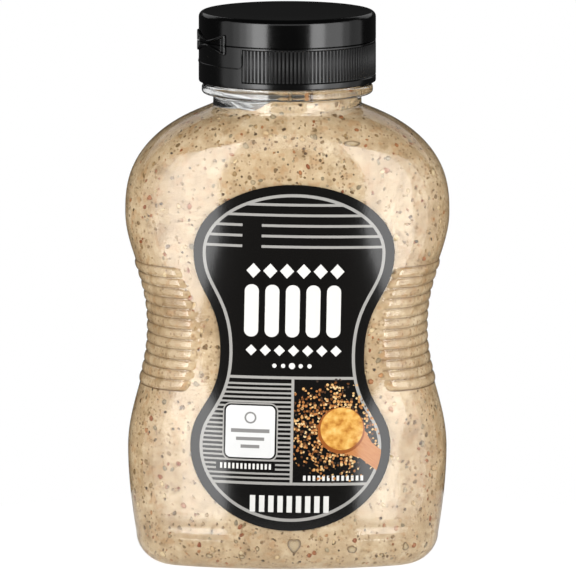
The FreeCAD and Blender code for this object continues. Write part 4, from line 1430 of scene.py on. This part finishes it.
for part in (bar, low_tip):
    graph.tree.links.new(part.socket, whole.socket.node.inputs[0])
rounded_bar = graph.node("GeometryNodeSetShadeSmooth", None, {"Geometry": whole})
stood = graph.node("GeometryNodeInstanceOnPoints", None, {"Points": kept, "Instance": rounded_bar})
lifted = graph.node("GeometryNodeTranslateInstances", None, {
    "Instances": stood, "Local Space": False,
    "Translation": graph.vector(0.0, 0.0, (given.out("Top") + given.out("Foot")) * (MM / 2))})
finish_tree(graph, lifted, given.out("Skin"))
bar_mesh = grown("cap_ribs", bpy.data.meshes.new("cap_ribs"), bar_tree, {
    "Count": BARS, "Circle": CAP_RADIUS - BAR_RADIUS, "Bar Radius": BAR_RADIUS,
    "Foot": BAND_FOOT + 0.2, "Top": BAND_TOP + 0.1, "Hinge Turn": HINGE_TURN,
    "Panel Half": math.radians(35), "Skin": rib_plastic_sheen,
    "Thumb Half": math.acos((THUMB_CHORD - BAR_RADIUS) / CAP_RADIUS)})
piece("cap_ribs", bar_mesh, "bottle")

# %% [markdown]
# ## The hinge
#
# The lid hangs on a moulded hinge shaped like a bow tie: two webs that meet in a knot at the
# seam. The real one is one bending strip. A strip that bends could be blended between the lid and
# the base, but its halves hardly bend at all, so the seam splits it: the upper half rides with the
# lid and the lower half stays. Raised bars edge each web, and a thin line frames the smooth panel
# below.

# %% Hinge webs
WEB_HALF = 19.0        # degrees from the knot to the end of a web
KNOT_HALF = 0.6        # degrees from the knot's middle to the start of a web
WEB_UP, WEB_DOWN = 2.3, 1.9
KNOT = 0.35
WEB_RADIUS, WEB_BACK = CAP_RADIUS + 0.12, CAP_RADIUS - 0.3


def web_bars(side, drop, seam):
    """Plate and raised bars of a half web: side is -1 or 1; drop is its height, up positive."""
    steps = 10
    plate = []
    for step in range(steps + 1):
        share = step / steps
        turn = side * (KNOT_HALF + (WEB_HALF - KNOT_HALF) * share)
        edge = seam + math.copysign(KNOT + (abs(drop) - KNOT) * share, drop)
        plate.append([cylinder_point(turn, level, radius) for level, radius in (
            (seam, WEB_BACK), (edge, WEB_BACK), (edge, WEB_RADIUS), (seam, WEB_RADIUS))])
    middle = [sum(row, Vector()) / 4 for row in (plate[0], plate[-1])]
    parts = [skin(plate, first_pole=middle[0], last_pole=middle[1])]
    edge_path = [cylinder_point(side * WEB_HALF * share, seam + math.copysign(
        KNOT + (abs(drop) - KNOT) * share - 0.25 * math.sin(math.pi * share), drop),
        WEB_RADIUS + 0.12 + 0.12 * math.sin(math.pi * share)) for share in np.linspace(0.02, 1, 11)]
    end_path = [cylinder_point(side * (WEB_HALF + 0.4 * math.sin(math.pi * share)),
                               seam + drop * share, WEB_RADIUS + 0.1)
                for share in np.linspace(0, 1, 5)]
    inner_path = [cylinder_point(side * (WEB_HALF - 3.2), seam + drop * share * 0.7, WEB_RADIUS + 0.02)
                  for share in np.linspace(0, 1, 5)]
    parts += [tube(edge_path, 0.3), tube(end_path, 0.3), tube(inner_path, 0.14)]
    return parts


for name, body, drop, seam, material in (
        ("hinge_upper", "lid", WEB_UP, SEAM + 0.02, lid_plastic),
        ("hinge_lower", "bottle", -WEB_DOWN, DECK - 0.02, base_plastic)):
    parts = web_bars(-1, drop, seam) + web_bars(1, drop, seam)
    parts.append(tube([cylinder_point(turn, seam + math.copysign(0.3, drop), WEB_RADIUS + 0.1)
                       for turn in np.linspace(-3, 3, 7)], 0.28))
    mesh = mesh_of(name, *parts)
    smooth(mesh, 50)
    piece(name, mesh, body, material)

# %% Frame of the smooth panel
PANEL_HALF, PANEL_DROP, PANEL_CORNER = 33.0, 5.0, 1.1
to_degrees = 180 / (math.pi * CAP_RADIUS)
corner_points = [(PANEL_HALF - PANEL_CORNER * to_degrees * (1 - math.cos(math.radians(angle))),
                  DECK - PANEL_DROP + PANEL_CORNER * (1 - math.sin(math.radians(angle))))
                 for angle in range(0, 91, 15)]
right_side = [(PANEL_HALF, DECK - 0.3), (PANEL_HALF, DECK - 1.5), (PANEL_HALF, DECK - 2.8)]
bottom = [(turn, DECK - PANEL_DROP) for turn in np.linspace(PANEL_HALF - 4.5, 0, 9)]
half_frame = right_side + corner_points + bottom
frame_path = half_frame + [(-turn, height) for turn, height in half_frame[-2::-1]]
frame_line = mesh_of("panel_line", tube([cylinder_point(turn, height, CAP_RADIUS + 0.02)
                                         for turn, height in frame_path], 0.14, 6))
smooth(frame_line, 60)
piece("panel_line", frame_line, "bottle", base_plastic)

# %% The smooth panel
PANEL_BACK, PANEL_FACE = CAP_RADIUS - 0.4, CAP_RADIUS + 0.01
PANEL_FOOT, PANEL_HEAD = CAP_FOOT + 0.9, DECK - 0.15
panel_outline = ((PANEL_BACK, PANEL_FOOT), (PANEL_BACK, PANEL_HEAD), (CAP_RADIUS - 0.01, PANEL_HEAD),
                 (PANEL_FACE, DECK - PANEL_DROP), (PANEL_FACE, PANEL_FOOT))
panel_rows = [[cylinder_point(turn, height, radius) for radius, height in panel_outline]
              for turn in np.linspace(-PANEL_HALF, PANEL_HALF, 45)]
ends = [sum(row, Vector()) / 5 for row in (panel_rows[0], panel_rows[-1])]
panel_mesh = mesh_of("smooth_panel", skin(panel_rows, first_pole=ends[0], last_pole=ends[1]))
smooth(panel_mesh, 50)
piece("smooth_panel", panel_mesh, "bottle", base_plastic)

# %% Print both boxes and finish
visual_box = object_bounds()
for title, box in (("cad", cad_box), ("visual", visual_box)):
    print(title, [[round(value / MM, 1) for value in corner_point] for corner_point in box])
